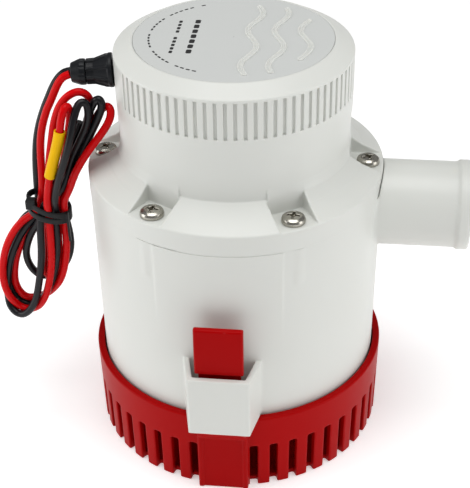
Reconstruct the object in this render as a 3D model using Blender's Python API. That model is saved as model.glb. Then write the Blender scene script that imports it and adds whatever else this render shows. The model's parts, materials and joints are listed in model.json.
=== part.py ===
"""Submersible bilge pump, about 200 mm tall: a white pump housing with a 40 mm hose outlet,
a sealed motor unit screwed on top of it, a red clip-on strainer base, and a two-core lead
that hangs in a tied hank from a black cable gland.

Sizes are in millimetres in this script and become metres when a mesh is made.
The origin is the middle of the base's underside, +Z is up, the outlet points along +X,
and the two strainer latches are on -Y and +Y.
"""
import math

import bmesh
import bpy
from mathutils import Matrix, Vector

MM = 0.001
GAP = 0.3                       # clearance between pieces that touch

# heights of the main faces
BASE_FLOOR_TOP = 2.5
SLOT_TOP = 25.0
HOUSING_BOTTOM = 26.0
BASE_TOP = 42.0
FLANGE_JOINT = 131.0            # top of the pump housing
RIM_Z = 140.9                   # edge of the conical flange, and floor of the screw pockets
CONE_TOP = 148.7
GROOVE_BOTTOM = 178.8
SHOULDER_Z = 196.5
TOP_Z = 201.3

# radii of the main bodies
HOUSING_R_TOP = 67.9
HOUSING_R_BOTTOM = 66.7
HOUSING_WALL = 3.4
SEAL_SEAT_INNER_R = 52.6         # both seals lie between these radii
SEAL_SEAT_OUTER_R = 55.3
RIM_R = 68.15
NECK_R = 52.4                   # motor housing just above the cone
CAP_R = 53.2                    # ribbed grip
BEVEL_R = 45.0
PLATE_R = 44.0
BASE_R_TOP = 71.0
BASE_R_BOTTOM = 70.1
BASE_BORE_R = 67.6

# outlet for a 40 mm hose
OUTLET_Z = 120.5
OUTLET_R = 20.0
OUTLET_BORE_R = 17.2
OUTLET_BORE_START_X = 69.4
OUTLET_END_X = 108.6
OUTLET_BEAD_R = 20.9
OUTLET_BEAD_LENGTH = 6.0
DUCT_Z = 113.6                  # flat duct between the pump chamber and the bore
DUCT_HALF_WIDTH = 16.6
DUCT_HALF_HEIGHT = 10.2

# flange screws and their pockets
SCREW_COUNT = 6
SCREW_CIRCLE_R = 61.0
SCREW_HEAD_R = 5.3
SCREW_SHANK_R = 2.0
SCREW_HOLE_R = 2.4
SCREW_LENGTH = 15.8
POCKET_WIDTH = 17.6
SUCTION_SCREW_COUNT = 3
SUCTION_SCREW_CIRCLE_R = 60.0

# grip grooves on the motor housing
GROOVE_COUNT = 80
GROOVE_WIDTH = 1.7
GROOVE_DEPTH = 0.8
GROOVE_FREE_ANGLE = 24.0        # plain wall each side of the cable gland

# cable gland, pointing outwards and slightly down
GLAND_ANGLE = -172.0
GLAND_Z = 187.0
GLAND_TILT = 2.5
GLAND_HOLE_R = 5.0
NOSE_R = 72.2                   # distance from the pump's axis to the gland's tip

# strainer base
SLOT_COUNT = 46                 # positions round the base, two are taken by each foot
SLOT_WIDTH = 3.8
FOOT_HALF_WIDTH = 11.7
FOOT_Y = 71.7
POST_COUNT = 8

# snap latches: guard boxes on the pump housing, tongues on the strainer base
GUARD_BOTTOM = 42.6
GUARD_TOP = 73.6
GUARD_FRONT_Y = 82.0
GUARD_FRONT_HALF = 14.0
GUARD_BACK_HALF = 17.8
GUARD_BACK_Y = 64.5
GUARD_FRONT_WALL = 3.0
GUARD_SIDE_WALL = 2.5
TONGUE_Y = 74.8                 # middle of the tongue's thickness
TONGUE_HALF_WIDTH = 9.5
TONGUE_THICKNESS = 2.6
LATCH_HINGE_Z = 44.3
PAD_BOTTOM = 74.3
PAD_TOP = 99.0
PAD_FRONT_Y = 78.7
PAD_BACK_Y = 75.4
PAD_HALF_WIDTH = 11.0
PAD_OVERLAP = 4.0               # how far the tongue runs up behind its pad

# motor and impeller
CUP_R = 45.0
CUP_WALL = 2.7
CAN_R = 39.0
CAN_WALL = 2.0
CAN_BOTTOM = 58.0
CAN_TOP = 156.0
SHAFT_R = 4.0
RUNNING_R = 4.06                # bores that the shaft turns in
SEAT_R = 4.3                    # bores of the pieces fixed to the shaft
IMPELLER_R = 38.0
IMPELLER_BLADES = 6
SUCTION_EYE_R = 24.0
ARMATURE_SLOTS = 12

# supply leads
LEAD_R = 1.8
INNER_LEAD_R = 1.4              # the thinner pair inside the motor housing
SLEEVE_R = 2.6


# ---------------------------------------------------------------- helpers

def clear_scene():
    for old in list(bpy.data.objects):
        bpy.data.objects.remove(old, do_unlink=True)


def material(name, color, roughness, metallic=0.0):
    mat = bpy.data.materials.new(name)
    mat.use_nodes = True
    shader = mat.node_tree.nodes["Principled BSDF"]
    shader.inputs["Base Color"].default_value = (*color, 1.0)
    shader.inputs["Roughness"].default_value = roughness
    shader.inputs["Metallic"].default_value = metallic
    mat.diffuse_color = (*color, 1.0)
    return mat


def polar(radius, degrees, z=0.0):
    angle = math.radians(degrees)
    return Vector((radius * math.cos(angle), radius * math.sin(angle), z))


def about_z(degrees):
    return Matrix.Rotation(math.radians(degrees), 4, "Z")


def make(name, bm, mat, origin=(0.0, 0.0, 0.0), parent=None, sharp=35.0):
    """Turn a bmesh drawn in millimetres into an object with the given origin."""
    bmesh.ops.recalc_face_normals(bm, faces=bm.faces)
    shift = Vector(origin)
    for vert in bm.verts:
        vert.co = (vert.co - shift) * MM
    mesh = bpy.data.meshes.new(name)
    bm.to_mesh(mesh)
    bm.free()
    mesh.shade_smooth()
    mesh.set_sharp_from_angle(angle=math.radians(sharp))
    obj = bpy.data.objects.new(name, mesh)
    bpy.context.collection.objects.link(obj)
    if mat:
        mesh.materials.append(mat)
    if parent:
        obj.parent = parent
        shift = shift - parent.location / MM
    obj.location = shift * MM
    return obj


def boolean(target, bm, operation, name):
    """Add or take away the bodies in bm with a Boolean modifier on target; returns the hidden helper."""
    helper = make(name, bm, None)
    helper.hide_render = True
    helper.display_type = "WIRE"
    modifier = target.modifiers.new(name, "BOOLEAN")
    modifier.operation = operation
    modifier.solver = "EXACT"
    modifier.object = helper
    return helper


def joint_empty(name, location, parent=None):
    empty = bpy.data.objects.new(name, None)
    empty.empty_display_size = 0.02
    bpy.context.collection.objects.link(empty)
    empty.location = Vector(location) * MM
    if parent:
        empty.parent = parent
        empty.location -= parent.location
    return empty


def add_turned(bm, profile, segments, matrix=None):
    """Turn a closed (radius, z) outline round Z; points at radius 0 become poles."""
    rings = []
    for radius, z in profile:
        if radius == 0:
            rings.append([bm.verts.new((0, 0, z))])
            continue
        rings.append([bm.verts.new(polar(radius, 360 * i / segments, z)) for i in range(segments)])
    for low, high in zip(rings, rings[1:] + rings[:1]):
        if len(low) == 1 and len(high) == 1:
            continue
        for i in range(segments):
            j = (i + 1) % segments
            corners = [low[i % len(low)], low[j % len(low)], high[j % len(high)], high[i % len(high)]]
            bm.faces.new(list(dict.fromkeys(corners)))
    move(rings, matrix)


def add_loft(bm, rings, matrix=None, closed=False):
    """Skin rings of equal point counts; capped at both ends, or joined end to end."""
    loops = [[bm.verts.new(point) for point in ring] for ring in rings]
    count = len(loops[0])
    pairs = list(zip(loops, loops[1:]))
    if closed:
        pairs.append((loops[-1], loops[0]))
    else:
        bm.faces.new(loops[0])
        bm.faces.new(loops[-1])
    for low, high in pairs:
        for i in range(count):
            j = (i + 1) % count
            bm.faces.new((low[i], low[j], high[j], high[i]))
    move(loops, matrix)


def add_prism(bm, outline, z0, z1, matrix=None):
    add_loft(bm, [[(x, y, z0) for x, y in outline], [(x, y, z1) for x, y in outline]], matrix)


def add_box(bm, low, high, matrix=None):
    outline = [(low[0], low[1]), (high[0], low[1]), (high[0], high[1]), (low[0], high[1])]
    add_prism(bm, outline, low[2], high[2], matrix)


def add_cylinder(bm, radius, z0, z1, segments, matrix=None):
    add_turned(bm, [(0, z0), (radius, z0), (radius, z1), (0, z1)], segments, matrix)


def move(groups, matrix):
    if matrix is None:
        return
    for group in groups:
        for vert in group:
            vert.co = matrix @ vert.co


def smooth_route(points, steps):
    """Points along a Catmull-Rom curve through the route's own points."""
    knots = [Vector(p) for p in points]
    knots = [2 * knots[0] - knots[1]] + knots + [2 * knots[-1] - knots[-2]]
    result = []
    for a, b, c, d in zip(knots, knots[1:], knots[2:], knots[3:]):
        for step in range(steps):
            t = step / steps
            result.append(0.5 * (2 * b + (c - a) * t + (2 * a - 5 * b + 4 * c - d) * t ** 2
                                 + (3 * b - a - 3 * c + d) * t ** 3))
    result.append(knots[-2])
    return result


def wire(name, points, radius, mat, bevel_resolution=2):
    """A round wire along a polyline, with closed ends."""
    curve = bpy.data.curves.new(name, "CURVE")
    curve.dimensions = "3D"
    curve.bevel_depth = radius * MM
    curve.bevel_resolution = bevel_resolution
    curve.use_fill_caps = True
    curve.render_resolution_u = 0
    spline = curve.splines.new("POLY")
    spline.points.add(len(points) - 1)
    for spline_point, point in zip(spline.points, points):
        spline_point.co = (*(Vector(point) * MM), 1.0)
    curve.materials.append(mat)
    obj = bpy.data.objects.new(name, curve)
    bpy.context.collection.objects.link(obj)
    return obj


def along(direction, origin):
    """Matrix that carries +Z onto direction, at origin."""
    turn = Vector((0, 0, 1)).rotation_difference(Vector(direction)).to_matrix().to_4x4()
    return Matrix.Translation(origin) @ turn


# ---------------------------------------------------------------- pump housing

def housing_radius(z):
    """Outer radius of the slightly tapered pump housing."""
    share = (z - HOUSING_BOTTOM) / (FLANGE_JOINT - HOUSING_BOTTOM)
    return HOUSING_R_BOTTOM + share * (HOUSING_R_TOP - HOUSING_R_BOTTOM)


def guard_outline(side):
    """U-shaped plan of one latch guard; side is -1 for the front, +1 for the back."""
    front = GUARD_FRONT_Y
    inner_front = front - GUARD_FRONT_WALL
    outer = [(-GUARD_BACK_HALF, GUARD_BACK_Y), (-GUARD_FRONT_HALF, front),
             (GUARD_FRONT_HALF, front), (GUARD_BACK_HALF, GUARD_BACK_Y)]
    inner_half_front = GUARD_FRONT_HALF - GUARD_SIDE_WALL + 0.4
    inner_half_back = GUARD_BACK_HALF - GUARD_SIDE_WALL
    inner = [(inner_half_back, GUARD_BACK_Y), (inner_half_front, inner_front),
             (-inner_half_front, inner_front), (-inner_half_back, GUARD_BACK_Y)]
    return [(x, y * side) for x, y in outer + inner]


def build_pump_housing(white):
    segments = 48
    top_ring_bottom = FLANGE_JOINT - 4.0
    seal_step_z = FLANGE_JOINT - 1.8
    inner_top = housing_radius(top_ring_bottom) - HOUSING_WALL
    inner_bottom = HOUSING_R_BOTTOM - HOUSING_WALL
    bm = bmesh.new()
    add_turned(bm, [
        (HOUSING_R_BOTTOM - 0.6, HOUSING_BOTTOM),
        (HOUSING_R_BOTTOM, HOUSING_BOTTOM + 0.6),
        (HOUSING_R_TOP, FLANGE_JOINT),
        (SEAL_SEAT_OUTER_R, FLANGE_JOINT),
        (SEAL_SEAT_OUTER_R, seal_step_z),
        (SEAL_SEAT_INNER_R, seal_step_z),
        (SEAL_SEAT_INNER_R, top_ring_bottom),
        (inner_top, top_ring_bottom),
        (inner_bottom, HOUSING_BOTTOM),
    ], segments)
    housing = make("pump_housing", bm, white)

    bosses = bmesh.new()
    for index in range(1, SCREW_COUNT):
        spot = Matrix.Translation(polar(SCREW_CIRCLE_R + 1.2, 60 * index))
        add_cylinder(bosses, 5.9, 113.6, FLANGE_JOINT - 1.0, 12, spot)
    add_cylinder(bosses, 5.0, 124.6, FLANGE_JOINT - 1.0, 12,
                 Matrix.Translation(polar(SCREW_CIRCLE_R, 0)))
    for index in range(SUCTION_SCREW_COUNT):
        add_cylinder(bosses, 4.6, HOUSING_BOTTOM + 3.1, 46.0, 10,
                     Matrix.Translation(suction_screw_spot(index)))
    boolean(housing, bosses, "UNION", "add_bosses")

    spout = bmesh.new()
    bead_start = OUTLET_END_X - OUTLET_BEAD_LENGTH
    spout_start = HOUSING_R_TOP - 2.2
    add_turned(spout, [
        (0, spout_start),
        (OUTLET_R, spout_start),
        (OUTLET_R, bead_start),
        (OUTLET_BEAD_R, bead_start + 0.8),
        (OUTLET_BEAD_R, OUTLET_END_X - 0.6),
        (OUTLET_BEAD_R - 0.6, OUTLET_END_X),
        (OUTLET_BORE_R, OUTLET_END_X),
        (OUTLET_BORE_R, OUTLET_BORE_START_X),
        (0, OUTLET_BORE_START_X),
    ], 36, along((1, 0, 0), (0, 0, OUTLET_Z)))
    spout_helper = boolean(housing, spout, "UNION", "add_spout")
    # the motor housing's rim stands where the spout's upper edge would pass over the joint
    rim_space = bmesh.new()
    add_cylinder(rim_space, RIM_R + GAP, FLANGE_JOINT - 0.1, RIM_Z + 5, segments)
    boolean(spout_helper, rim_space, "DIFFERENCE", "cut_rim_space")

    guards = bmesh.new()
    for side in (-1, 1):
        add_prism(guards, guard_outline(side), GUARD_BOTTOM, GUARD_TOP)
    boolean(housing, guards, "UNION", "add_guards")

    # the spout's round bore starts behind this flat oval duct, which passes under the flange
    duct = bmesh.new()
    oval = Matrix.Translation((0, 0, DUCT_Z)) @ Matrix.Diagonal((1, 1, DUCT_HALF_HEIGHT / DUCT_HALF_WIDTH, 1))
    add_cylinder(duct, DUCT_HALF_WIDTH, 52.0, 70.5, 24, oval @ along((1, 0, 0), (0, 0, 0)))
    boolean(housing, duct, "DIFFERENCE", "cut_duct")

    holes = bmesh.new()
    for index in range(SCREW_COUNT):
        add_cylinder(holes, SCREW_SHANK_R + GAP, RIM_Z - SCREW_LENGTH - 0.6, FLANGE_JOINT + 2, 8,
                     Matrix.Translation(polar(SCREW_CIRCLE_R, 60 * index)))
    for index in range(SUCTION_SCREW_COUNT):
        add_cylinder(holes, 1.5 + GAP, HOUSING_BOTTOM - 1, 40.0, 8,
                     Matrix.Translation(suction_screw_spot(index)))
    boolean(housing, holes, "DIFFERENCE", "cut_screw_holes")


def suction_screw_spot(index):
    """Middle of one of the screws that hold the suction plate."""
    return polar(SUCTION_SCREW_CIRCLE_R, 30 + 360 / SUCTION_SCREW_COUNT * index)


def build_suction_plate(white, steel):
    """Plate with the suction eye that closes the pump housing from below."""
    bottom = HOUSING_BOTTOM + GAP
    bm = bmesh.new()
    add_turned(bm, [
        (SUCTION_EYE_R, bottom - 1.5),
        (SUCTION_EYE_R + 2.0, bottom - 1.5),
        (SUCTION_EYE_R + 3.0, bottom),
        (62.6, bottom),
        (62.6, bottom + 2.5),
        (SUCTION_EYE_R + 1.0, bottom + 2.5),
    ], 28)
    plate = make("suction_plate", bm, white)
    holes = bmesh.new()
    for index in range(SUCTION_SCREW_COUNT):
        add_cylinder(holes, 1.8, bottom - 2, bottom + 5, 8,
                     Matrix.Translation(suction_screw_spot(index)))
    boolean(plate, holes, "DIFFERENCE", "cut_plate_holes")
    for index in range(SUCTION_SCREW_COUNT):
        bm = bmesh.new()
        spot = suction_screw_spot(index)
        add_turned(bm, [(0, 23.8), (1.9, 23.8), (2.4, 24.4), (2.6, bottom - GAP), (1.5, bottom - GAP),
                        (1.5, 38.5), (0, 39.5)], 8, Matrix.Translation(spot))
        make("suction_screw_%d" % (index + 1), bm, steel, spot)


# ---------------------------------------------------------------- motor housing

def build_motor_housing(white):
    """Upper shell: conical flange with screw pockets, neck, and ribbed grip with a flat top."""
    cup_recess_r = 56.7
    cup_recess_z = 134.0
    bore_r = 49.3
    bm = bmesh.new()
    add_turned(bm, [
        (0, 199.7),
        (PLATE_R + GAP, 199.7),
        (PLATE_R + GAP, TOP_Z),
        (BEVEL_R, TOP_Z),
        (CAP_R - 0.9, SHOULDER_Z + 1.0),
        (CAP_R, SHOULDER_Z - 0.4),
        (CAP_R - 0.05, GROOVE_BOTTOM),
        (NECK_R, CONE_TOP),
        (RIM_R, RIM_Z),
        (RIM_R - 0.15, FLANGE_JOINT + GAP),
        (0, FLANGE_JOINT + GAP),
    ], 48)
    shell = make("motor_housing", bm, white)

    inside = bmesh.new()
    add_turned(inside, [
        (0, FLANGE_JOINT - 2),
        (cup_recess_r, FLANGE_JOINT - 2),
        (cup_recess_r, cup_recess_z),
        (SEAL_SEAT_OUTER_R, cup_recess_z),
        (SEAL_SEAT_OUTER_R, cup_recess_z + 1.5),
        (SEAL_SEAT_INNER_R, cup_recess_z + 1.5),
        (SEAL_SEAT_INNER_R, cup_recess_z),
        (bore_r, cup_recess_z),
        (bore_r, 192.0),
        (BEVEL_R, 196.4),
        (0, 196.4),
    ], 28)
    boolean(shell, inside, "DIFFERENCE", "cut_inside")

    grooves = bmesh.new()
    for index in range(GROOVE_COUNT):
        angle = 360 / GROOVE_COUNT * (index + 0.5)
        from_gland = abs((angle - GLAND_ANGLE + 180) % 360 - 180)
        if from_gland > GROOVE_FREE_ANGLE:
            add_box(grooves, (CAP_R - GROOVE_DEPTH, -GROOVE_WIDTH / 2, GROOVE_BOTTOM),
                    (CAP_R + 2, GROOVE_WIDTH / 2, SHOULDER_Z - 0.6), about_z(angle))
    boolean(shell, grooves, "DIFFERENCE", "cut_grooves")

    pockets = bmesh.new()
    holes = bmesh.new()
    for index in range(SCREW_COUNT):
        turn = about_z(60 * index)
        add_box(pockets, (NECK_R + 0.2, -POCKET_WIDTH / 2, RIM_Z),
                (RIM_R + 5, POCKET_WIDTH / 2, CONE_TOP + 5), turn)
        add_cylinder(holes, SCREW_HOLE_R, FLANGE_JOINT - 1, RIM_Z + 2, 8,
                     turn @ Matrix.Translation((SCREW_CIRCLE_R, 0, 0)))
    boolean(shell, pockets, "DIFFERENCE", "cut_pockets")
    add_cylinder(holes, GLAND_HOLE_R, bore_r - 6, CAP_R + 6, 14, gland_matrix(0))
    boolean(shell, holes, "DIFFERENCE", "cut_shell_holes")

    # fins inside the shell that hold the motor down
    fins = bmesh.new()
    for index in range(SCREW_COUNT):
        add_box(fins, (33.5, -1, CAN_TOP + 3.6), (bore_r + 1.0, 1, 191.0), about_z(30 + 60 * index))
    boolean(shell, fins, "UNION", "add_fins")


def build_top_plate(grey):
    bm = bmesh.new()
    bottom = 200.0
    add_turned(bm, [(0, bottom), (PLATE_R, bottom), (PLATE_R, 200.8), (PLATE_R - 0.3, 201.1), (0, 201.1)], 40)
    make("top_plate", bm, grey)


def pan_screw(name, head_bottom, position, steel):
    """Pan head machine screw with a cross recess."""
    head = [(SCREW_HEAD_R, 0.0), (SCREW_HEAD_R, 1.6), (SCREW_HEAD_R - 1.6, 3.0), (0, 3.4)]
    shank = [(0, -SCREW_LENGTH), (SCREW_SHANK_R - 0.6, -SCREW_LENGTH), (SCREW_SHANK_R, -SCREW_LENGTH + 1),
             (SCREW_SHANK_R, 0.0)]
    bm = bmesh.new()
    add_turned(bm, [(r, z + head_bottom) for r, z in shank + head], 12, Matrix.Translation(position))
    screw = make(name, bm, steel, position)
    cross = bmesh.new()
    arm, half, depth = 2.6, 0.6, 1.6
    outline = [(arm, -half), (arm, half), (half, half), (half, arm), (-half, arm), (-half, half),
               (-arm, half), (-arm, -half), (-half, -half), (-half, -arm), (half, -arm), (half, -half)]
    top = head_bottom + 3.4
    add_prism(cross, outline, top - depth, top + 1, Matrix.Translation(position) @ about_z(20))
    boolean(screw, cross, "DIFFERENCE", "cut_" + name)


def build_flange_screws(steel):
    for index in range(SCREW_COUNT):
        pan_screw("flange_screw_%d" % (index + 1), RIM_Z + GAP, polar(SCREW_CIRCLE_R, 60 * index), steel)


def ring_seal(name, radius, z, section, rubber):
    bm = bmesh.new()
    add_turned(bm, [(radius + section * math.cos(a), z + section * math.sin(a))
                    for a in (2 * math.pi * k / 5 for k in range(5))], 24)
    make(name, bm, rubber)


def build_motor_cup(white):
    """Cup that keeps the motor dry; its flange is clamped between shell and pump housing."""
    inner_r = CUP_R - CUP_WALL
    floor_bottom = 53.5
    floor_top = CAN_BOTTOM - GAP
    hub_bottom = 47.0
    bm = bmesh.new()
    add_turned(bm, [
        (9.3, hub_bottom),
        (12.5, hub_bottom),
        (13.0, floor_bottom),
        (CUP_R - 2.5, floor_bottom),
        (CUP_R, floor_bottom + 2.5),
        (CUP_R, FLANGE_JOINT + 0.5),
        (56.3, FLANGE_JOINT + 0.5),
        (56.3, 133.7),
        (inner_r, 133.7),
        (inner_r, floor_top),
        (4.7, floor_top),
        (4.7, 52.3),
        (9.3, 52.3),
    ], 24)
    cup = make("motor_cup", bm, white)
    ribs = bmesh.new()
    for index in range(6):
        add_box(ribs, (CAN_R + GAP, -1.5, floor_top - 1), (inner_r + 1.5, 1.5, 126.0), about_z(60 * index))
    boolean(cup, ribs, "UNION", "add_cup_ribs")


# ---------------------------------------------------------------- cable gland and leads

def gland_matrix(distance):
    """Frame on the gland's axis, +Z outwards, at a distance from the pump's axis."""
    outward = polar(1, GLAND_ANGLE)
    direction = (outward - Vector((0, 0, math.tan(math.radians(GLAND_TILT))))).normalized()
    wall_point = outward * CAP_R + Vector((0, 0, GLAND_Z))
    return along(direction, wall_point + direction * (distance - CAP_R))


def build_gland(black, rubber):
    bm = bmesh.new()
    add_turned(bm, [
        (3.9, 46.0), (4.7, 46.0), (4.7, 54.3), (8.3, 54.3), (8.3, 55.8), (7.8, 56.4),
        (5.3, 60.4), (4.9, 61.4), (4.9, 65.3), (4.5, 65.3), (4.5, 68.6), (3.9, 68.6),
    ], 16, gland_matrix(0))
    body = make("gland_body", bm, black)
    ribs = bmesh.new()
    for index in range(8):
        add_loft(ribs, [[(4.7, -0.6, 61.0), (5.6, -0.6, 61.0), (5.6, 0.6, 61.0), (4.7, 0.6, 61.0)],
                        [(6.8, -0.6, 56.0), (8.5, -0.6, 56.0), (8.5, 0.6, 56.0), (6.8, 0.6, 56.0)]],
                 gland_matrix(0) @ about_z(45 * index))
    boolean(body, ribs, "UNION", "add_gland_ribs")

    bm = bmesh.new()
    add_turned(bm, [
        (4.8, 65.6), (5.5, 65.6), (5.8, 66.2), (5.8, 70.4), (5.3, 71.0), (4.7, NOSE_R),
        (4.2, NOSE_R), (4.2, 70.4), (4.8, 70.0),
    ], 20, gland_matrix(0))
    nut = make("gland_nut", bm, black)
    flutes = bmesh.new()
    for index in range(10):
        add_cylinder(flutes, 0.5, 65.0, 70.2, 5,
                     gland_matrix(0) @ about_z(36 * index) @ Matrix.Translation((5.9, 0, 0)))
    boolean(nut, flutes, "DIFFERENCE", "cut_nut_flutes")

    bm = bmesh.new()
    add_turned(bm, [(0, 64.0), (3.6, 64.0), (3.6, NOSE_R - 0.4), (0, NOSE_R - 0.4)], 14, gland_matrix(0))
    grommet = make("gland_grommet", bm, rubber)
    holes = bmesh.new()
    for side in (-1, 1):
        add_cylinder(holes, 1.55, 62.0, 76.0, 8, gland_matrix(0) @ Matrix.Translation((0, side * 1.75, 0)))
    boolean(grommet, holes, "DIFFERENCE", "cut_grommet_holes")


# Routes in millimetres.  Both leads leave the gland's nose and run down the hank's outer
# side to the tie; the rest of each is folded in the hank.
LEAD_ROUTES = {
    "lead_red": [(-71.7, -11.8, 186.1), (-74.2, -12.3, 185.2), (-76.7, -12.8, 182.6), (-78.8, -13.1, 178.6),
                 (-81.0, -13.5, 173.8), (-85.0, -14.4, 165.2), (-87.4, -15.0, 156.0), (-88.2, -15.4, 145.0),
                 (-88.5, -15.6, 134.4), (-88.8, -15.6, 129.2)],
    "lead_black": [(-72.1, -8.3, 186.1), (-74.8, -8.6, 185.4), (-77.8, -9.0, 182.8), (-80.5, -9.4, 178.6),
                   (-83.0, -9.8, 173.4), (-87.4, -10.6, 163.6), (-90.2, -11.2, 154.0), (-91.6, -11.6, 144.0),
                   (-92.2, -12.0, 134.4), (-92.6, -12.1, 128.4)],
}
INNER_ROUTES = {
    "inner_lead_red": [(-45.0, -8.2, 187.2), (-41.0, -8.0, 186.6), (-35.5, -7.4, 182.0), (-32.0, -6.4, 174.0),
                       (-30.0, -6.0, 164.0), (-29.5, -6.0, 152.0), (-29.5, -6.0, 138.2)],
    "inner_lead_black": [(-45.0, -4.5, 187.2), (-41.0, -3.4, 186.6), (-35.5, 0.0, 182.0), (-32.0, 4.0, 174.0),
                         (-30.0, 6.0, 164.0), (-29.5, 6.0, 152.0), (-29.5, 6.0, 138.2)],
}
# Middle x, height, half width and half thickness of the folded hank, from bottom to top.
HANK_ROWS = [(-106.0, 50.0, 2.5, 2.5), (-104.0, 56.0, 8.5, 5.0), (-101.0, 65.5, 12.8, 6.0),
             (-97.6, 79.0, 16.0, 6.5), (-94.4, 93.0, 15.6, 6.5), (-90.4, 106.0, 11.5, 6.5),
             (-87.0, 116.0, 8.2, 6.0), (-85.6, 125.0, 8.0, 6.0), (-79.6, 129.0, 5.0, 6.0),
             (-77.6, 137.0, 6.0, 6.0), (-73.0, 149.0, 8.8, 6.0), (-67.6, 161.0, 10.4, 6.0),
             (-64.4, 171.0, 10.4, 5.5), (-62.2, 177.0, 7.4, 4.0), (-61.4, 180.3, 3.0, 2.5)]
HANK_Y = -16.5


def build_leads(red, black, yellow, tie_black):
    wire("lead_red", smooth_route(LEAD_ROUTES["lead_red"], 2), LEAD_R, red)
    wire("lead_black", smooth_route(LEAD_ROUTES["lead_black"], 2), LEAD_R, black)
    wire("inner_lead_red", smooth_route(INNER_ROUTES["inner_lead_red"], 2), INNER_LEAD_R, red, 1)
    wire("inner_lead_black", smooth_route(INNER_ROUTES["inner_lead_black"], 2), INNER_LEAD_R, black, 1)

    def oval(x, z, half_width, half_thick):
        angles = [2 * math.pi * k / 12 for k in range(12)]
        return [(x + half_width * math.cos(a), HANK_Y + half_thick * math.sin(a), z) for a in angles]

    bm = bmesh.new()
    add_loft(bm, [oval(*row) for row in HANK_ROWS])
    make("lead_hank", bm, black, (-87.0, HANK_Y, 118.0))

    bm = bmesh.new()
    x, low, high = -86.3, 116.5, 123.5
    add_loft(bm, [oval(x, low, 9.4, 7.2), oval(x, low, 10.6, 8.4), oval(x, high, 10.6, 8.4),
                  oval(x, high, 9.4, 7.2)], closed=True)
    make("hank_tie", bm, tie_black, (x, HANK_Y, (low + high) / 2))

    start, end = Vector((-74.4, -25.4, 165.1)), Vector((-82.1, -25.6, 140.9))
    length = (end - start).length
    bm = bmesh.new()
    add_turned(bm, [(0, 0), (SLEEVE_R, 0), (SLEEVE_R, length), (0, length)], 10,
               along(end - start, start))
    make("marker_sleeve", bm, yellow, start)


# ---------------------------------------------------------------- motor

def build_motor(steel, magnet_grey, insulation, carbon, bearing_steel):
    inner_r = CAN_R - CAN_WALL
    floor_top = CAN_BOTTOM + CAN_WALL
    bm = bmesh.new()
    add_turned(bm, [
        (6.5, CAN_BOTTOM), (CAN_R, CAN_BOTTOM), (CAN_R, CAN_TOP), (inner_r, CAN_TOP), (inner_r, floor_top),
        (13.5, floor_top), (13.5, 67.0), (11.3, 67.0), (11.3, floor_top), (6.5, floor_top),
    ], 24)
    make("motor_can", bm, steel)

    bell_bottom = CAN_TOP + GAP
    bm = bmesh.new()
    add_turned(bm, [
        (0, bell_bottom + 3), (0, bell_bottom + 1.5), (11.3, bell_bottom + 1.5), (11.3, 150.8), (13.5, 150.8),
        (13.5, bell_bottom), (CAN_R - 0.2, bell_bottom), (CAN_R - 0.2, bell_bottom + 3),
    ], 24)
    bell = make("motor_end_bell", bm, steel)
    holes = bmesh.new()
    for side in (-1, 1):
        add_cylinder(holes, 2.4, CAN_TOP - 2, CAN_TOP + 6, 8, Matrix.Translation((-29.6, side * 6.0, 0)))
    boolean(bell, holes, "DIFFERENCE", "cut_bell_holes")

    for name, low in (("lower_bearing", floor_top + GAP), ("upper_bearing", 150.6)):
        bm = bmesh.new()
        add_turned(bm, [(RUNNING_R, low), (11.0, low), (11.0, low + 6.6), (RUNNING_R, low + 6.6)], 24)
        make(name, bm, bearing_steel)

    for name, middle in (("magnet_left", 180), ("magnet_right", 0)):
        span, steps = 136, 10
        angles = [middle - span / 2 + span * k / steps for k in range(steps + 1)]
        outline = [polar(inner_r - 0.8, a) for a in angles] + [polar(31.0, a) for a in reversed(angles)]
        bm = bmesh.new()
        add_prism(bm, [(p.x, p.y) for p in outline], 74.0, 128.0)
        make(name, bm, magnet_grey)

    plate_z = 135.5
    bm = bmesh.new()
    add_turned(bm, [(12.0, plate_z), (inner_r - GAP, plate_z), (inner_r - GAP, plate_z + 2.0),
                    (12.0, plate_z + 2.0)], 24)
    plate = make("brush_plate", bm, insulation)
    holders = bmesh.new()
    channel = [(13.5, -4.8), (35.4, -4.8), (35.4, 4.8), (13.5, 4.8), (13.5, 3.4), (34.0, 3.4),
               (34.0, -3.4), (13.5, -3.4)]
    for turn in (90, 270):
        add_prism(holders, channel, plate_z + 1, plate_z + 9.5, about_z(turn))
    boolean(plate, holders, "UNION", "add_brush_holders")

    for name, turn in (("a", 90), ("b", 270)):
        bm = bmesh.new()
        add_box(bm, (9.7, -3.0, plate_z + 2.4), (22.0, 3.0, plate_z + 8.6), about_z(turn))
        make("brush_" + name, bm, carbon)
        coils, per_turn, radius = 3, 8, 2.3
        start, end = 22.9, 33.2
        helix = []
        for k in range(coils * per_turn + 1):
            around = 2 * math.pi * k / per_turn
            distance = start + (end - start) * k / (coils * per_turn)
            helix.append(about_z(turn) @ Vector((distance, radius * math.cos(around),
                                                 plate_z + 5.5 + radius * math.sin(around))))
        wire("brush_spring_" + name, helix, 0.35, steel, 0)


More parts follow.
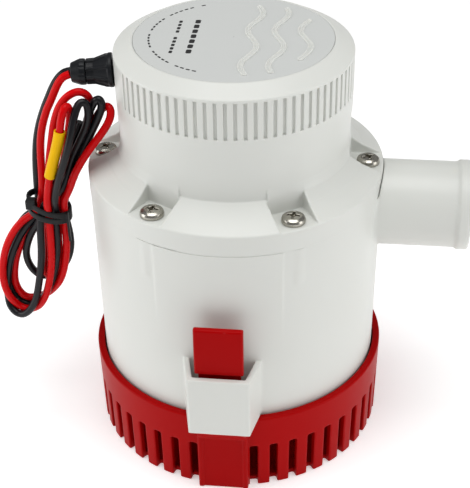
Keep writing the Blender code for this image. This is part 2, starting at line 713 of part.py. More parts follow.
def build_rotor(pivot, steel, core_steel, copper, white, brass):
    def own(name, bm, mat):
        return make(name, bm, mat, (0, 0, 0), pivot)

    bm = bmesh.new()
    add_turned(bm, [(0, 25.5), (SHAFT_R - 1, 25.5), (SHAFT_R - 0.6, 26.2), (SHAFT_R - 0.6, 31.0),
                    (SHAFT_R, 31.0), (SHAFT_R, 156.8), (0, 156.8)], 24)
    own("motor_shaft", bm, steel)

    core_low, core_high, core_r = 76.3, 126.0, 29.8
    bm = bmesh.new()
    add_turned(bm, [(SEAT_R, core_low), (core_r, core_low), (core_r, core_high), (SEAT_R, core_high)], 36)
    core = own("armature_core", bm, core_steel)
    slots = bmesh.new()
    tee = [(19.0, -2.4), (27.4, -2.4), (27.4, -0.9), (32.0, -0.9), (32.0, 0.9), (27.4, 0.9), (27.4, 2.4),
           (19.0, 2.4)]
    for index in range(ARMATURE_SLOTS):
        add_prism(slots, tee, core_low - 2, core_high + 2, about_z(360 / ARMATURE_SLOTS * index))
    boolean(core, slots, "DIFFERENCE", "cut_core_slots")

    bm = bmesh.new()
    add_turned(bm, [(10.0, 69.0), (24.0, 69.0), (27.0, 71.5), (27.0, 76.0), (10.0, 76.0)], 20)
    windings = own("armature_windings", bm, copper)
    upper = bmesh.new()
    add_turned(upper, [(10.0, 126.3), (27.0, 126.3), (27.0, 130.5), (24.0, 133.0), (10.0, 133.0)], 20)
    for index in range(ARMATURE_SLOTS):
        add_box(upper, (19.4, -2.0, 74.5), (26.9, 2.0, 126.3), about_z(360 / ARMATURE_SLOTS * index))
    boolean(windings, upper, "UNION", "add_windings")
    windings.modifiers["add_windings"].use_self = True

    bm = bmesh.new()
    add_turned(bm, [(SEAT_R, 134.0), (11.0, 134.0), (11.0, 135.6), (9.3, 135.6), (9.3, 149.0),
                    (SEAT_R, 149.0)], 16)
    commutator = own("commutator", bm, brass)
    cuts = bmesh.new()
    for index in range(8):
        add_box(cuts, (8.4, -0.3, 135.6), (12.0, 0.3, 151.0), about_z(45 * index + 11.25))
    boolean(commutator, cuts, "DIFFERENCE", "cut_commutator")

    plate_low, plate_high = 42.0, 44.2
    bm = bmesh.new()
    add_turned(bm, [(SEAT_R, 31.3), (8.5, 31.3), (10.0, plate_low), (IMPELLER_R, plate_low),
                    (IMPELLER_R, plate_high), (SEAT_R, plate_high)], 36)
    impeller = own("impeller", bm, white)
    blades = bmesh.new()
    for index in range(IMPELLER_BLADES):
        steps, sweep, half = 6, 62.0, 1.1
        centre = []
        for k in range(steps + 1):
            radius = 12.0 + (IMPELLER_R - 0.6 - 12.0) * k / steps
            centre.append(polar(radius, 60 * index - sweep * k / steps))
        left, right = [], []
        for k, point in enumerate(centre):
            ahead = centre[min(k + 1, steps)] - centre[max(k - 1, 0)]
            normal = Vector((-ahead.y, ahead.x, 0)).normalized() * half
            left.append((point + normal)[:2])
            right.append((point - normal)[:2])
        add_prism(blades, left + right[::-1], 30.2, plate_low + 0.8)
    boolean(impeller, blades, "UNION", "add_blades")

    bm = bmesh.new()
    add_prism(bm, [polar(5.5, 60 * k)[:2] for k in range(6)], 27.2, 31.0)
    nut = own("impeller_nut", bm, brass)
    thread = bmesh.new()
    add_cylinder(thread, SHAFT_R - 0.3, 24.0, 34.0, 16)
    boolean(nut, thread, "DIFFERENCE", "cut_nut_thread")


def build_shaft_seal(rubber):
    bm = bmesh.new()
    add_turned(bm, [(RUNNING_R, 47.6), (9.0, 47.4), (9.0, 51.9), (RUNNING_R + 1.4, 51.9),
                    (RUNNING_R + 1.2, 49.6), (RUNNING_R, 48.6)], 20)
    make("shaft_seal", bm, rubber)


# ---------------------------------------------------------------- strainer base

def build_strainer(pivot, red):
    bm = bmesh.new()
    add_turned(bm, [
        (0, 0), (BASE_R_BOTTOM - 0.5, 0), (BASE_R_BOTTOM, 0.6), (BASE_R_TOP, BASE_TOP - 0.6),
        (BASE_R_TOP - 0.6, BASE_TOP), (BASE_BORE_R, BASE_TOP), (BASE_BORE_R - 0.3, BASE_FLOOR_TOP),
        (0, BASE_FLOOR_TOP),
    ], SLOT_COUNT)
    base = make("strainer_base", bm, red, (0, 0, 0), pivot)

    slots = bmesh.new()
    pitch = 360 / SLOT_COUNT
    for side in (-90, 90):
        for step in range(1, SLOT_COUNT // 2 - 1):
            add_box(slots, (66.6, -SLOT_WIDTH / 2, -1), (BASE_R_TOP + 2, SLOT_WIDTH / 2, SLOT_TOP),
                    about_z(side + (step + 0.5) * pitch))
    boolean(base, slots, "DIFFERENCE", "cut_slots")

    # feet that carry the latch tongues
    feet = bmesh.new()
    for side in (-1, 1):
        outline = [(67.9, 0.4), (FOOT_Y - 0.5, 0.0), (FOOT_Y, 0.6), (FOOT_Y, 31.0), (76.1, 38.0),
                   (76.1, LATCH_HINGE_Z - GAP), (73.4, LATCH_HINGE_Z - GAP), (73.0, BASE_TOP), (67.9, BASE_TOP)]
        rings = [[(x, y * side, z) for y, z in outline] for x in (-FOOT_HALF_WIDTH, FOOT_HALF_WIDTH)]
        add_loft(feet, rings)
    boolean(base, feet, "UNION", "add_feet")

    # posts on the inner wall that the pump housing stands on
    posts = bmesh.new()
    for index in range(POST_COUNT):
        add_box(posts, (61.0, -1.4, BASE_FLOOR_TOP - 1), (BASE_BORE_R + 0.6, 1.4, HOUSING_BOTTOM - GAP),
                about_z(pitch * round((index + 0.5) * 360 / POST_COUNT / pitch) - 90))
    boolean(base, posts, "UNION", "add_posts")

    holes = bmesh.new()
    for index in range(4):
        add_turned(holes, [(0, -1), (2.4, -1), (2.4, 0.6), (4.6, 2.9), (4.6, 4.0), (0, 4.0)], 16,
                   Matrix.Translation(polar(44.0, 45 + 90 * index)))
    boolean(base, holes, "DIFFERENCE", "cut_fixing_holes")


def build_latch(name, side, pivot, red):
    """Red tongue with its thumb pad; side is -1 for the front latch, +1 for the back."""
    half_thick = TONGUE_THICKNESS / 2
    bm = bmesh.new()
    add_box(bm, (-TONGUE_HALF_WIDTH, TONGUE_Y - half_thick, LATCH_HINGE_Z),
            (TONGUE_HALF_WIDTH, TONGUE_Y + half_thick, PAD_BOTTOM + PAD_OVERLAP))
    pad = bmesh.new()
    edge = 1.0
    rings = []
    for z, inset in ((PAD_BOTTOM, edge), (PAD_BOTTOM + edge, 0.0), (PAD_TOP - edge, 0.0), (PAD_TOP, edge)):
        front, back, width = PAD_FRONT_Y - inset, PAD_BACK_Y, PAD_HALF_WIDTH - inset
        rings.append([(-width, back, z), (-width, front - edge, z), (-width + edge, front, z),
                      (width - edge, front, z), (width, front - edge, z), (width, back, z)])
    add_loft(pad, rings)
    for mesh in (bm, pad):
        for vert in mesh.verts:
            vert.co.y *= side
    tongue = make(name, bm, red, (0, side * TONGUE_Y, LATCH_HINGE_Z), pivot)
    boolean(tongue, pad, "UNION", "add_pad_" + name)


# ---------------------------------------------------------------- assembly

def build():
    clear_scene()
    white = material("white_plastic", (0.80, 0.81, 0.78), 0.38)
    grey = material("label_grey", (0.66, 0.67, 0.66), 0.45)
    red = material("red_plastic", (0.55, 0.006, 0.012), 0.35)
    black = material("black_plastic", (0.02, 0.02, 0.022), 0.45)
    rubber = material("black_rubber", (0.025, 0.025, 0.025), 0.75)
    stainless = material("stainless_steel", (0.55, 0.53, 0.50), 0.30, 1.0)
    steel = material("zinc_steel", (0.45, 0.46, 0.48), 0.40, 1.0)
    core_steel = material("core_steel", (0.25, 0.25, 0.27), 0.50, 1.0)
    magnet_grey = material("ferrite", (0.05, 0.05, 0.055), 0.65)
    insulation = material("insulation_board", (0.18, 0.10, 0.05), 0.60)
    carbon = material("carbon", (0.03, 0.03, 0.03), 0.55)
    copper = material("copper", (0.72, 0.33, 0.18), 0.35, 1.0)
    brass = material("brass", (0.70, 0.52, 0.25), 0.35, 1.0)
    wire_red = material("lead_red_pvc", (0.60, 0.0, 0.008), 0.35)
    wire_black = material("lead_black_pvc", (0.02, 0.02, 0.022), 0.40)
    yellow = material("yellow_sleeve", (0.85, 0.55, 0.0), 0.45)

    rotor_axis = joint_empty("rotor_axis", (0, 0, 0))
    strainer_slide = joint_empty("strainer_slide", (0, 0, 0))
    latch_axes = {side: joint_empty("latch_axis_%d" % side, (0, side * TONGUE_Y, LATCH_HINGE_Z), strainer_slide)
                  for side in (-1, 1)}

    build_pump_housing(white)
    build_suction_plate(white, stainless)
    build_motor_housing(white)
    build_top_plate(grey)
    build_flange_screws(stainless)
    build_motor_cup(white)
    ring_seal("flange_seal", 54.0, 130.25, 0.95, rubber)
    ring_seal("cup_seal", 54.0, 134.72, 0.7, rubber)
    build_gland(black, rubber)
    build_leads(wire_red, wire_black, yellow, black)
    build_motor(steel, magnet_grey, insulation, carbon, stainless)
    build_shaft_seal(rubber)
    build_rotor(rotor_axis, stainless, core_steel, copper, white, brass)
    build_strainer(strainer_slide, red)
    build_latch("latch_tab_front", -1, latch_axes[-1], red)
    build_latch("latch_tab_back", 1, latch_axes[1], red)


build()
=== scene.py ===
"""Looks of the submersible bilge pump: shells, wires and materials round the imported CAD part.

Lengths are in millimetres in this script and become metres when a mesh is made.
Moulded pieces are described as fields, negative inside the plastic, so that every edge has its
moulded radius; surface_net turns a field into quads, which are then pulled exactly onto it.
"""
import json
import math
from itertools import product

import bmesh
import bpy
import numpy as np
from mathutils import Matrix, Vector

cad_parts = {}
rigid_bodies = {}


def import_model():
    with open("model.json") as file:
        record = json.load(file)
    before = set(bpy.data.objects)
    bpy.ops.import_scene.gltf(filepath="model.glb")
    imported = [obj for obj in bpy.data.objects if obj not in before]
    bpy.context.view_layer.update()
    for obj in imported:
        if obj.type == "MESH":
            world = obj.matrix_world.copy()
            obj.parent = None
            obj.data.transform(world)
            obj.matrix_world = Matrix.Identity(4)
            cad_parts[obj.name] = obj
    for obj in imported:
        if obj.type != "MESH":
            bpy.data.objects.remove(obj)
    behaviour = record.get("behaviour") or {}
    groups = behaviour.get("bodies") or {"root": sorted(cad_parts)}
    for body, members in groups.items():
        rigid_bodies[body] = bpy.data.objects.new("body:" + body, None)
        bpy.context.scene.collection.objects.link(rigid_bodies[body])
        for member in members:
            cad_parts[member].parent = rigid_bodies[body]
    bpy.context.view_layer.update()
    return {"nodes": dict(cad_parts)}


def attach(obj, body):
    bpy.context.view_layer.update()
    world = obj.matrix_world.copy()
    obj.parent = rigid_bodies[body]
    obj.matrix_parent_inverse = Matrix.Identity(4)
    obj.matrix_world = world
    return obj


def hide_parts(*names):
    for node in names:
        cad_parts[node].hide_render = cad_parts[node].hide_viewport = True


MM = 0.001
for left_over in list(bpy.data.objects):
    bpy.data.objects.remove(left_over)
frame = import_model()

# sizes that the CAD source has too
GAP = 0.3
HOUSING_BOTTOM, FLANGE_JOINT, RIM_Z, CONE_TOP = 26.0, 131.0, 140.9, 148.7
GROOVE_BOTTOM, SHOULDER_Z, TOP_Z = 178.8, 196.5, 201.3
HOUSING_R_TOP, HOUSING_R_BOTTOM = 67.9, 66.7
RIM_R, NECK_R, CAP_R, BEVEL_R, PLATE_R = 68.15, 52.4, 53.2, 45.0, 44.0
OUTLET_Z, OUTLET_R, OUTLET_BORE_R, OUTLET_BORE_X, OUTLET_END_X = 120.5, 20.0, 17.2, 69.4, 108.6
SCREW_COUNT, SCREW_CIRCLE_R, POCKET_WIDTH = 6, 61.0, 17.6
GROOVE_COUNT, GROOVE_FREE_ANGLE = 80, 24.0
GLAND_ANGLE, GLAND_Z, GLAND_TILT = -172.0, 187.0, 2.5
SLOT_COUNT, SLOT_WIDTH, SLOT_TOP, BASE_TOP = 46, 3.8, 25.0, 42.0
TONGUE_HALF_WIDTH, PAD_HALF_WIDTH = 9.5, 11.0
PAD_BACK_Y, PAD_FRONT_Y, PAD_BOTTOM, PAD_TOP = 75.4, 78.7, 74.3, 99.0
LEAD_D = 3.6
HANK_Y = -16.5

# grip grooves, a little narrower and deeper than the CAD's
GROOVE_WIDTH, GROOVE_DEPTH = 1.55, 1.2
SHELL_LIP = 0.08                # how far the motor housing's edge laps over the joint line

FRONT, BACK = -90, 90           # directions round Z, in degrees
NOWHERE = 9.0                   # field value that leaves a solid out of a place
CORNER_STEPS = 5                # straight pieces in a rounded corner of an outline


# ---------------------------------------------------------------- fields

class Spots:
    """Points where a field is measured: x, y, z, and distance r and angle a (degrees) round Z."""

    def __init__(self, x, y, z, r=None, a=None):
        self.x, self.y, self.z = x, y, z
        self.r = np.hypot(x, y) if r is None else r
        self.a = np.degrees(np.arctan2(y, x)) if a is None else a

    def around(self, angle):
        """Angle from the given one, -180 to 180 degrees."""
        return (self.a - angle + 180) % 360 - 180

    def turned(self, angle):
        """x and y in a frame turned about Z so that its x points along the angle."""
        c, s = math.cos(math.radians(angle)), math.sin(math.radians(angle))
        return self.x * c + self.y * s, self.y * c - self.x * s

    def spoke(self, count, first):
        """Radial and sideways distance from the nearest of count equally spaced spokes."""
        pitch = 360 / count
        off = np.radians((self.a - first + pitch / 2) % pitch - pitch / 2)
        return self.r * np.cos(off), self.r * np.sin(off)


def both(a, b, k=0.0):
    """Where both solids are, with a rounded outer edge of about radius k."""
    if k <= 0:
        return np.maximum(a, b)
    h = np.maximum(k - np.abs(a - b), 0) / k
    return np.maximum(a, b) + h * h * k / 4


def either(a, b, k=0.0):
    """Where either solid is, with a filleted inner corner of about radius k."""
    return -both(-a, -b, k)


def without(a, b, k=0.0):
    """The first solid with the second cut from it, and a rounded edge of about radius k."""
    return both(a, -b, k)


def span(v, low, high):
    """Distance outside the range low to high, negative within it."""
    return np.maximum(low - v, v - high)


def block(pairs, radius=0.0):
    """Rounded box from (value, low, high) for each direction."""
    parts = [span(v, low, high) + radius for v, low, high in pairs]
    inner = parts[0]
    outer = np.maximum(parts[0], 0) ** 2
    for part in parts[1:]:
        inner = np.maximum(inner, part)
        outer = outer + np.maximum(part, 0) ** 2
    return np.minimum(inner, 0) + np.sqrt(outer) - radius


def outline(u, v, points):
    """Exact distance to a closed outline of (u, v) points; a third number rounds that corner."""
    path = round_corners(points)
    best = None
    inside = np.zeros(np.broadcast(u, v).shape, bool)
    for (ua, va), (ub, vb) in zip(path, path[1:] + path[:1]):
        du, dv = ub - ua, vb - va
        share = np.clip(((u - ua) * du + (v - va) * dv) / (du * du + dv * dv), 0, 1)
        gap = (u - ua - du * share) ** 2 + (v - va - dv * share) ** 2
        best = gap if best is None else np.minimum(best, gap)
        if dv:
            inside ^= ((va > v) != (vb > v)) & (u < du * (v - va) / dv + ua)
    return np.where(inside, -1.0, 1.0) * np.sqrt(best)


def round_corners(points):
    """Outline of (u, v) points with an arc at each corner that has a radius."""
    path = []
    count = len(points)
    for i, point in enumerate(points):
        radius = point[2] if len(point) > 2 else 0
        here = Vector(point[:2])
        if not radius:
            path.append((here.x, here.y))
            continue
        back = (Vector(points[i - 1][:2]) - here).normalized()
        ahead = (Vector(points[(i + 1) % count][:2]) - here).normalized()
        half = back.angle(ahead) / 2
        reach = radius / math.tan(half)
        start, end = here + back * reach, here + ahead * reach
        middle = here + (back + ahead).normalized() * (radius / math.sin(half))
        for k in range(CORNER_STEPS + 1):
            spoke = (start - middle).lerp(end - middle, k / CORNER_STEPS).normalized() * radius
            path.append((middle.x + spoke.x, middle.y + spoke.y))
    return path


# ---------------------------------------------------------------- meshes from fields

def surface_net(values, wrap):
    """Corners (in grid steps) and quads of the zero surface; the axis wrap closes on itself."""
    inside = values < 0
    if wrap is not None:
        values = np.concatenate([values, np.take(values, [0], axis=wrap)], axis=wrap)
    sizes = [n - 1 for n in values.shape]
    filled = np.zeros(sizes, np.int8)
    for shift in product((0, 1), repeat=3):
        filled += values[tuple(slice(s, s + n) for s, n in zip(shift, sizes))] < 0
    active = (filled > 0) & (filled < 8)
    cells = np.argwhere(active)
    index = np.full(sizes, -1, np.int32)
    index[active] = np.arange(len(cells))
    corner = {s: values[tuple((cells + s).T)] for s in product((0, 1), repeat=3)}
    total, hits = np.zeros((len(cells), 3)), np.zeros(len(cells))
    for start in corner:
        for axis in range(3):
            if start[axis]:
                continue
            end = tuple(1 if i == axis else s for i, s in enumerate(start))
            a, b = corner[start], corner[end]
            crosses = (a < 0) != (b < 0)
            share = np.where(crosses, a / np.where(crosses, a - b, 1), 0)
            spot = np.array(start, float)[None] + share[:, None] * (np.arange(3) == axis)
            total += spot * crosses[:, None]
            hits += crosses
    corners = cells + total / hits[:, None]

    def cut(array, axis, part):
        return array[tuple(part if i == axis else slice(None) for i in range(3))]

    def side(array, axis, high):
        if axis == wrap:
            return array if high else np.roll(array, 1, axis)
        return cut(array, axis, slice(1, None) if high else slice(None, -1))

    def middle(array, axis):
        return array if axis == wrap else cut(array, axis, slice(1, -1))

    quads = []
    for axis in range(3):
        u, v = (axis + 1) % 3, (axis + 2) % 3
        if axis == wrap:
            start, end = inside, np.roll(inside, -1, axis)
        else:
            start, end = cut(inside, axis, slice(None, -1)), cut(inside, axis, slice(1, None))
        start, end = (middle(middle(s, u), v) for s in (start, end))
        ring = [side(side(index, u, hu), v, hv) for hu, hv in ((0, 0), (1, 0), (1, 1), (0, 1))]
        for chosen, order in ((start & ~end, (0, 1, 2, 3)), (~start & end, (3, 2, 1, 0))):
            quads.append(np.stack([ring[k][chosen] for k in order], axis=1))
    return corners, np.concatenate(quads)


def settle(field, points, rounds, reach):
    """Pull points onto the field's zero surface along its slope."""
    step = 0.02
    for _ in range(rounds):
        value = field(Spots(*points.T))
        slope = np.zeros_like(points)
        for axis in range(3):
            ahead, behind = points.copy(), points.copy()
            ahead[:, axis] += step
            behind[:, axis] -= step
            slope[:, axis] = (field(Spots(*ahead.T)) - field(Spots(*behind.T))) / (2 * step)
        size = np.maximum((slope ** 2).sum(1), 0.05)
        move = -value[:, None] * slope / size[:, None]
        length = np.linalg.norm(move, axis=1)
        points = points + move * np.minimum(1, reach / np.maximum(length, 1e-9))[:, None]
    return points


def add_object(name, data):
    obj = bpy.data.objects.new(name, data)
    bpy.context.scene.collection.objects.link(obj)
    return obj


def from_bmesh(name, bm):
    """Mesh of a bmesh, which is freed."""
    mesh = bpy.data.meshes.new(name)
    bm.to_mesh(mesh)
    bm.free()
    return mesh


def from_quads(name, points, quads):
    mesh = bpy.data.meshes.new(name)
    mesh.vertices.add(len(points))
    mesh.vertices.foreach_set("co", (points * MM).astype(np.float32).ravel())
    mesh.loops.add(len(quads) * 4)
    mesh.loops.foreach_set("vertex_index", quads.astype(np.int32).ravel())
    mesh.polygons.add(len(quads))
    mesh.polygons.foreach_set("loop_start", np.arange(0, len(quads) * 4, 4, dtype=np.int32))
    mesh.update(calc_edges=True)
    mesh.validate()
    mesh.shade_smooth()
    return mesh


def moulded(name, field, axes, polar=True, turns=0, matrix=None, rounds=3):
    """Mesh of a field on a grid: axes are (r, z) with turns steps round Z, or (x, y, z)."""
    if polar:
        r, z = (np.array(a, float) for a in axes)
        angle = np.arange(turns) * 360 / turns - 180
        c, s = np.cos(np.radians(angle)), np.sin(np.radians(angle))
        spots = Spots(r[:, None, None] * c[None, :, None], r[:, None, None] * s[None, :, None],
                      z[None, None, :], r[:, None, None], angle[None, :, None])
        values = np.broadcast_to(field(spots), (len(r), turns, len(z)))
        corners, quads = surface_net(np.ascontiguousarray(values, np.float32), 1)
        radius = np.interp(corners[:, 0], np.arange(len(r)), r)
        around = np.radians(corners[:, 1] * 360 / turns - 180)
        height = np.interp(corners[:, 2], np.arange(len(z)), z)
        points = np.stack([radius * np.cos(around), radius * np.sin(around), height], axis=1)
    else:
        x, y, z = (np.array(a, float) for a in axes)
        spots = Spots(x[:, None, None], y[None, :, None], z[None, None, :])
        values = np.broadcast_to(field(spots), (len(x), len(y), len(z)))
        corners, quads = surface_net(np.ascontiguousarray(values, np.float32), None)
        points = np.stack([np.interp(corners[:, i], np.arange(len(a)), a)
                           for i, a in enumerate((x, y, z))], axis=1)
    points = settle(field, points, rounds, 0.25)
    if matrix is not None:
        m = np.array(matrix)
        points = points @ m[:3, :3].T + m[:3, 3]
    return add_object(name, from_quads(name, points, quads))


def steps(*stretches):
    """Grid positions from (start, end, step) stretches that follow each other."""
    found = [np.linspace(a, b, max(1, round((b - a) / s)), endpoint=False) for a, b, s in stretches]
    return np.concatenate(found + [[stretches[-1][1]]])


# ---------------------------------------------------------------- materials

class Finish:
    """A new material and the nodes that the finishes here are made of."""

    def __init__(self, name):
        self.mat = bpy.data.materials.new(name)
        self.mat.use_nodes = True
        self.shader = self.mat.node_tree.nodes["Principled BSDF"]
        self.place = self.node("TexCoord").outputs["Object"]

    def node(self, kind, **inputs):
        """A node with plain values, or other nodes' outputs, in its inputs."""
        node = self.mat.node_tree.nodes.new("ShaderNode" + kind)
        for name, value in inputs.items():
            self.feed(node, name.replace("_", " "), value)
        return node

    def feed(self, node, name, value):
        if isinstance(value, bpy.types.NodeSocket):
            self.mat.node_tree.links.new(value, node.inputs[name])
        else:
            node.inputs[name].default_value = value

    def noise(self, scale, detail, distortion=0.0):
        return self.node("TexNoise", Scale=scale, Detail=detail, Distortion=distortion,
                         Vector=self.place).outputs["Fac"]

    def ramp(self, source, low, high, start=0.0, end=1.0):
        """Colours low to high as the source goes from start to end."""
        node = self.node("ValToRGB", Fac=source)
        for element, position, color in zip(node.color_ramp.elements, (start, end), (low, high)):
            element.position, element.color = position, (*color, 1)
        return node.outputs["Color"]

    def surface(self, gloss, low, high, relief, strength, distance):
        """Roughness between low and high from one noise, and bump from the other."""
        rough = self.node("MapRange", Value=gloss, To_Min=low, To_Max=high)
        self.feed(self.shader, "Roughness", rough.outputs["Result"])
        bump = self.node("Bump", Height=relief, Strength=strength, Distance=distance)
        self.feed(self.shader, "Normal", bump.outputs["Normal"])


def plastic(name, color, roughness, grain=0.02, tint=0.03, subsurface=0.0, shine=0.5, painted_edge_highlight=0.0):
    """Moulded plastic: faint flow marks in the colour, fine grain in the surface, and sharp edges
    painted paler as a highlight.
    """
    finish = Finish(name)
    shader = finish.shader
    finish.feed(shader, "IOR", 1.5)
    finish.feed(shader, "Specular IOR Level", shine)
    if subsurface:
        finish.feed(shader, "Subsurface Weight", subsurface)
        finish.feed(shader, "Subsurface Radius", (1.0, 0.9, 0.8))
        finish.feed(shader, "Subsurface Scale", 0.0015)
    tone = finish.ramp(finish.noise(14, 4), [c * (1 - tint) for c in color],
                       [min(1, c * (1 + tint)) for c in color], 0.3, 0.7)
    # sharp edges are painted paler, towards white: a painted highlight standing in for light caught
    # along them
    if painted_edge_highlight:
        edges = finish.node("MapRange", Value=finish.node("NewGeometry").outputs["Pointiness"],
                            From_Min=0.52, From_Max=0.62, To_Max=painted_edge_highlight)
        mix = finish.node("Mix", Factor=edges.outputs["Result"])
        mix.data_type = "RGBA"
        finish.feed(mix, "A", tone)
        finish.feed(mix, "B", (*[c + (1 - c) * 0.35 for c in color], 1))
        tone = mix.outputs["Result"]
    finish.feed(shader, "Base Color", tone)
    finish.surface(finish.noise(60, 3), roughness - 0.05, roughness + 0.05,
                   finish.noise(1800, 2), grain, 0.0002)
    return finish.mat


def metal(name, color, roughness):
    """Metal with fine turning or drawing marks."""
    finish = Finish(name)
    finish.feed(finish.shader, "Metallic", 1.0)
    marks = finish.noise(300, 3, 1.0)
    finish.feed(finish.shader, "Base Color", finish.ramp(marks, [c * 0.8 for c in color], color))
    finish.surface(marks, roughness - 0.08, roughness + 0.1, marks, 0.08, 0.0001)
    return finish.mat


white = plastic("white_abs", (0.69, 0.70, 0.665), 0.36, 0.015, 0.012, 0.10, 0.4)
label_grey = plastic("label_grey", (0.60, 0.615, 0.60), 0.45, 0.03, 0.01, 0.0, 0.35)
# its last number paints a faint highlight along the red's sharp edges
red = plastic("red_abs", (0.37, 0.0005, 0.001), 0.36, 0.05, 0.04, 0.0, 0.05, 0.04)
gland_black = plastic("gland_nylon", (0.007, 0.008, 0.010), 0.38, 0.05, 0.1, 0.0, 0.2)
rubber = plastic("rubber", (0.02, 0.02, 0.02), 0.7, 0.1, 0.1)
tie_black = plastic("tie_nylon", (0.007, 0.008, 0.009), 0.42, 0.05, 0.1, 0.0, 0.25)
wire_red = plastic("wire_red_pvc", (0.62, 0.001, 0.003), 0.28, 0.05, 0.05, 0.0, 0.12)
wire_black = plastic("wire_black_pvc", (0.007, 0.007, 0.009), 0.30, 0.05, 0.15, 0.0, 0.25)
yellow = plastic("sleeve_yellow", (0.88, 0.50, 0.002), 0.42, 0.05, 0.05, 0.0, 0.08)
stainless = metal("stainless", (0.46, 0.44, 0.39), 0.24)
zinc_steel = metal("zinc_steel", (0.50, 0.51, 0.53), 0.40)
core_steel = metal("lamination_steel", (0.25, 0.25, 0.27), 0.5)
copper = metal("enamelled_copper", (0.72, 0.30, 0.14), 0.35)
brass = metal("brass", (0.75, 0.55, 0.25), 0.3)
ferrite = plastic("ferrite", (0.05, 0.05, 0.055), 0.6, 0.2, 0.1)
board = plastic("phenolic_board", (0.18, 0.09, 0.04), 0.55, 0.1, 0.1)
carbon = plastic("carbon", (0.02, 0.02, 0.022), 0.5, 0.2, 0.1)
ink = plastic("print_ink", (0.012, 0.012, 0.013), 0.5, 0.02, 0.02)


def dress(obj, mat, body, *stands_for):
    """Give a piece its material and its body, and hide the CAD nodes that it stands for."""
    obj.data.materials.clear()
    obj.data.materials.append(mat)
    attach(obj, body)
    if stands_for:
        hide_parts(*stands_for)


# ---------------------------------------------------------------- motor housing

def gland_frame(distance):
    """Frame on the gland's axis, +Z outwards, at a distance from the pump's axis."""
    turn = math.radians(GLAND_ANGLE)
    outward = Vector((math.cos(turn), math.sin(turn), 0))
    direction = (outward - Vector((0, 0, math.tan(math.radians(GLAND_TILT))))).normalized()
    start = outward * CAP_R + Vector((0, 0, GLAND_Z)) + direction * (distance - CAP_R)
    lean = Vector((0, 0, 1)).rotation_difference(direction).to_matrix().to_4x4()
    return Matrix.Translation(start) @ lean


def motor_housing(p):
    """Hollow turned shell with grip grooves, screw pockets and holes, and the gland's hole."""
    lip = FLANGE_JOINT - SHELL_LIP
    shell = outline(p.r, p.z, [
        (0.6, 199.7), (PLATE_R + GAP, 199.7), (PLATE_R + GAP, TOP_Z, 0.25),
        (BEVEL_R + 0.2, TOP_Z, 0.7), (CAP_R, SHOULDER_Z + 0.5, 1.2),
        (CAP_R - 0.05, GROOVE_BOTTOM - 1), (NECK_R, CONE_TOP, 0.7), (RIM_R, RIM_Z, 1.1),
        (RIM_R - 0.1, lip), (67.2, lip),
        (67.0, FLANGE_JOINT + 0.03), (56.7, FLANGE_JOINT + 0.03),
        (56.7, 134.0), (49.3, 134.0), (49.3, 192.0), (45.0, 196.4), (0.6, 196.4)])
    # the cone sweeps up into the neck, except above the flat pad between the front screws
    sweep = outline(p.r, p.z, [
        (NECK_R - 2, CONE_TOP + 4.5), (NECK_R - 0.1, CONE_TOP + 4.5),
        (NECK_R + 1.2, CONE_TOP + 0.6), (NECK_R + 5.5, CONE_TOP - 2.9),
        (NECK_R - 2, CONE_TOP - 3)])
    shell = either(shell, np.where(np.abs(p.around(FRONT)) < 21, NOWHERE, sweep), 1.0)
    reach, side = p.spoke(GROOVE_COUNT, 180 / GROOVE_COUNT)
    half = GROOVE_WIDTH / 2
    groove = block([(side, -half, half), (reach, CAP_R - GROOVE_DEPTH, CAP_R + 6),
                    (p.z, GROOVE_BOTTOM, SHOULDER_Z - 0.6)], 0.25)
    plain = np.abs(p.around(GLAND_ANGLE - 1.25)) < GROOVE_FREE_ANGLE + 0.75
    shell = without(shell, np.where(plain, NOWHERE, groove), 0.2)
    reach, side = p.spoke(SCREW_COUNT, 0)
    half = POCKET_WIDTH / 2
    pocket = block([(side, -half, half), (reach, NECK_R + 0.25, RIM_R + 20),
                    (p.z, RIM_Z, CONE_TOP + 20)], 0.3)
    shell = without(shell, pocket, 0.7)
    shell = without(shell, np.hypot(side, reach - SCREW_CIRCLE_R) - 2.4)
    # short open joint line at the front left
    seam = block([(p.z, FLANGE_JOINT - 1, FLANGE_JOINT + 0.35), (p.r, RIM_R - 0.45, RIM_R + 9),
                  (p.around(-114.5), -8.5, 8.5)], 0.05)
    shell = without(shell, seam)
    m = gland_frame(0).inverted()
    gx, gy, gz = (m[i][0] * p.x + m[i][1] * p.y + m[i][2] * p.z + m[i][3] for i in range(3))
    return without(shell, both(np.hypot(gx, gy) - 5.0, 40 - gz), 0.2)


MOTOR_GRID = (
    steps((0.2, 1.2, 0.5), (1.2, 43.2, 7), (43.2, 46, 0.35), (46, 48.6, 0.9), (48.6, 50, 0.5),
          (50, 52, 0.4), (52, 54, 0.3), (54, 69, 0.45)),
    steps((130.8, 131.6, 0.13), (131.6, 139.4, 1.3), (139.4, 149.8, 0.4), (149.8, 153.8, 1.0),
          (153.8, 177.8, 3.0), (177.8, 179.8, 0.3), (179.8, 194.8, 2.5), (194.8, 202, 0.3)))
motor_shell = moulded("motor_housing_shell", motor_housing, MOTOR_GRID, turns=720)
dress(motor_shell, white, "pump", "motor_housing")


# ---------------------------------------------------------------- pump housing

def housing_radius(z):
    share = (z - HOUSING_BOTTOM) / (FLANGE_JOINT - HOUSING_BOTTOM)
    return HOUSING_R_BOTTOM + share * (HOUSING_R_TOP - HOUSING_R_BOTTOM)


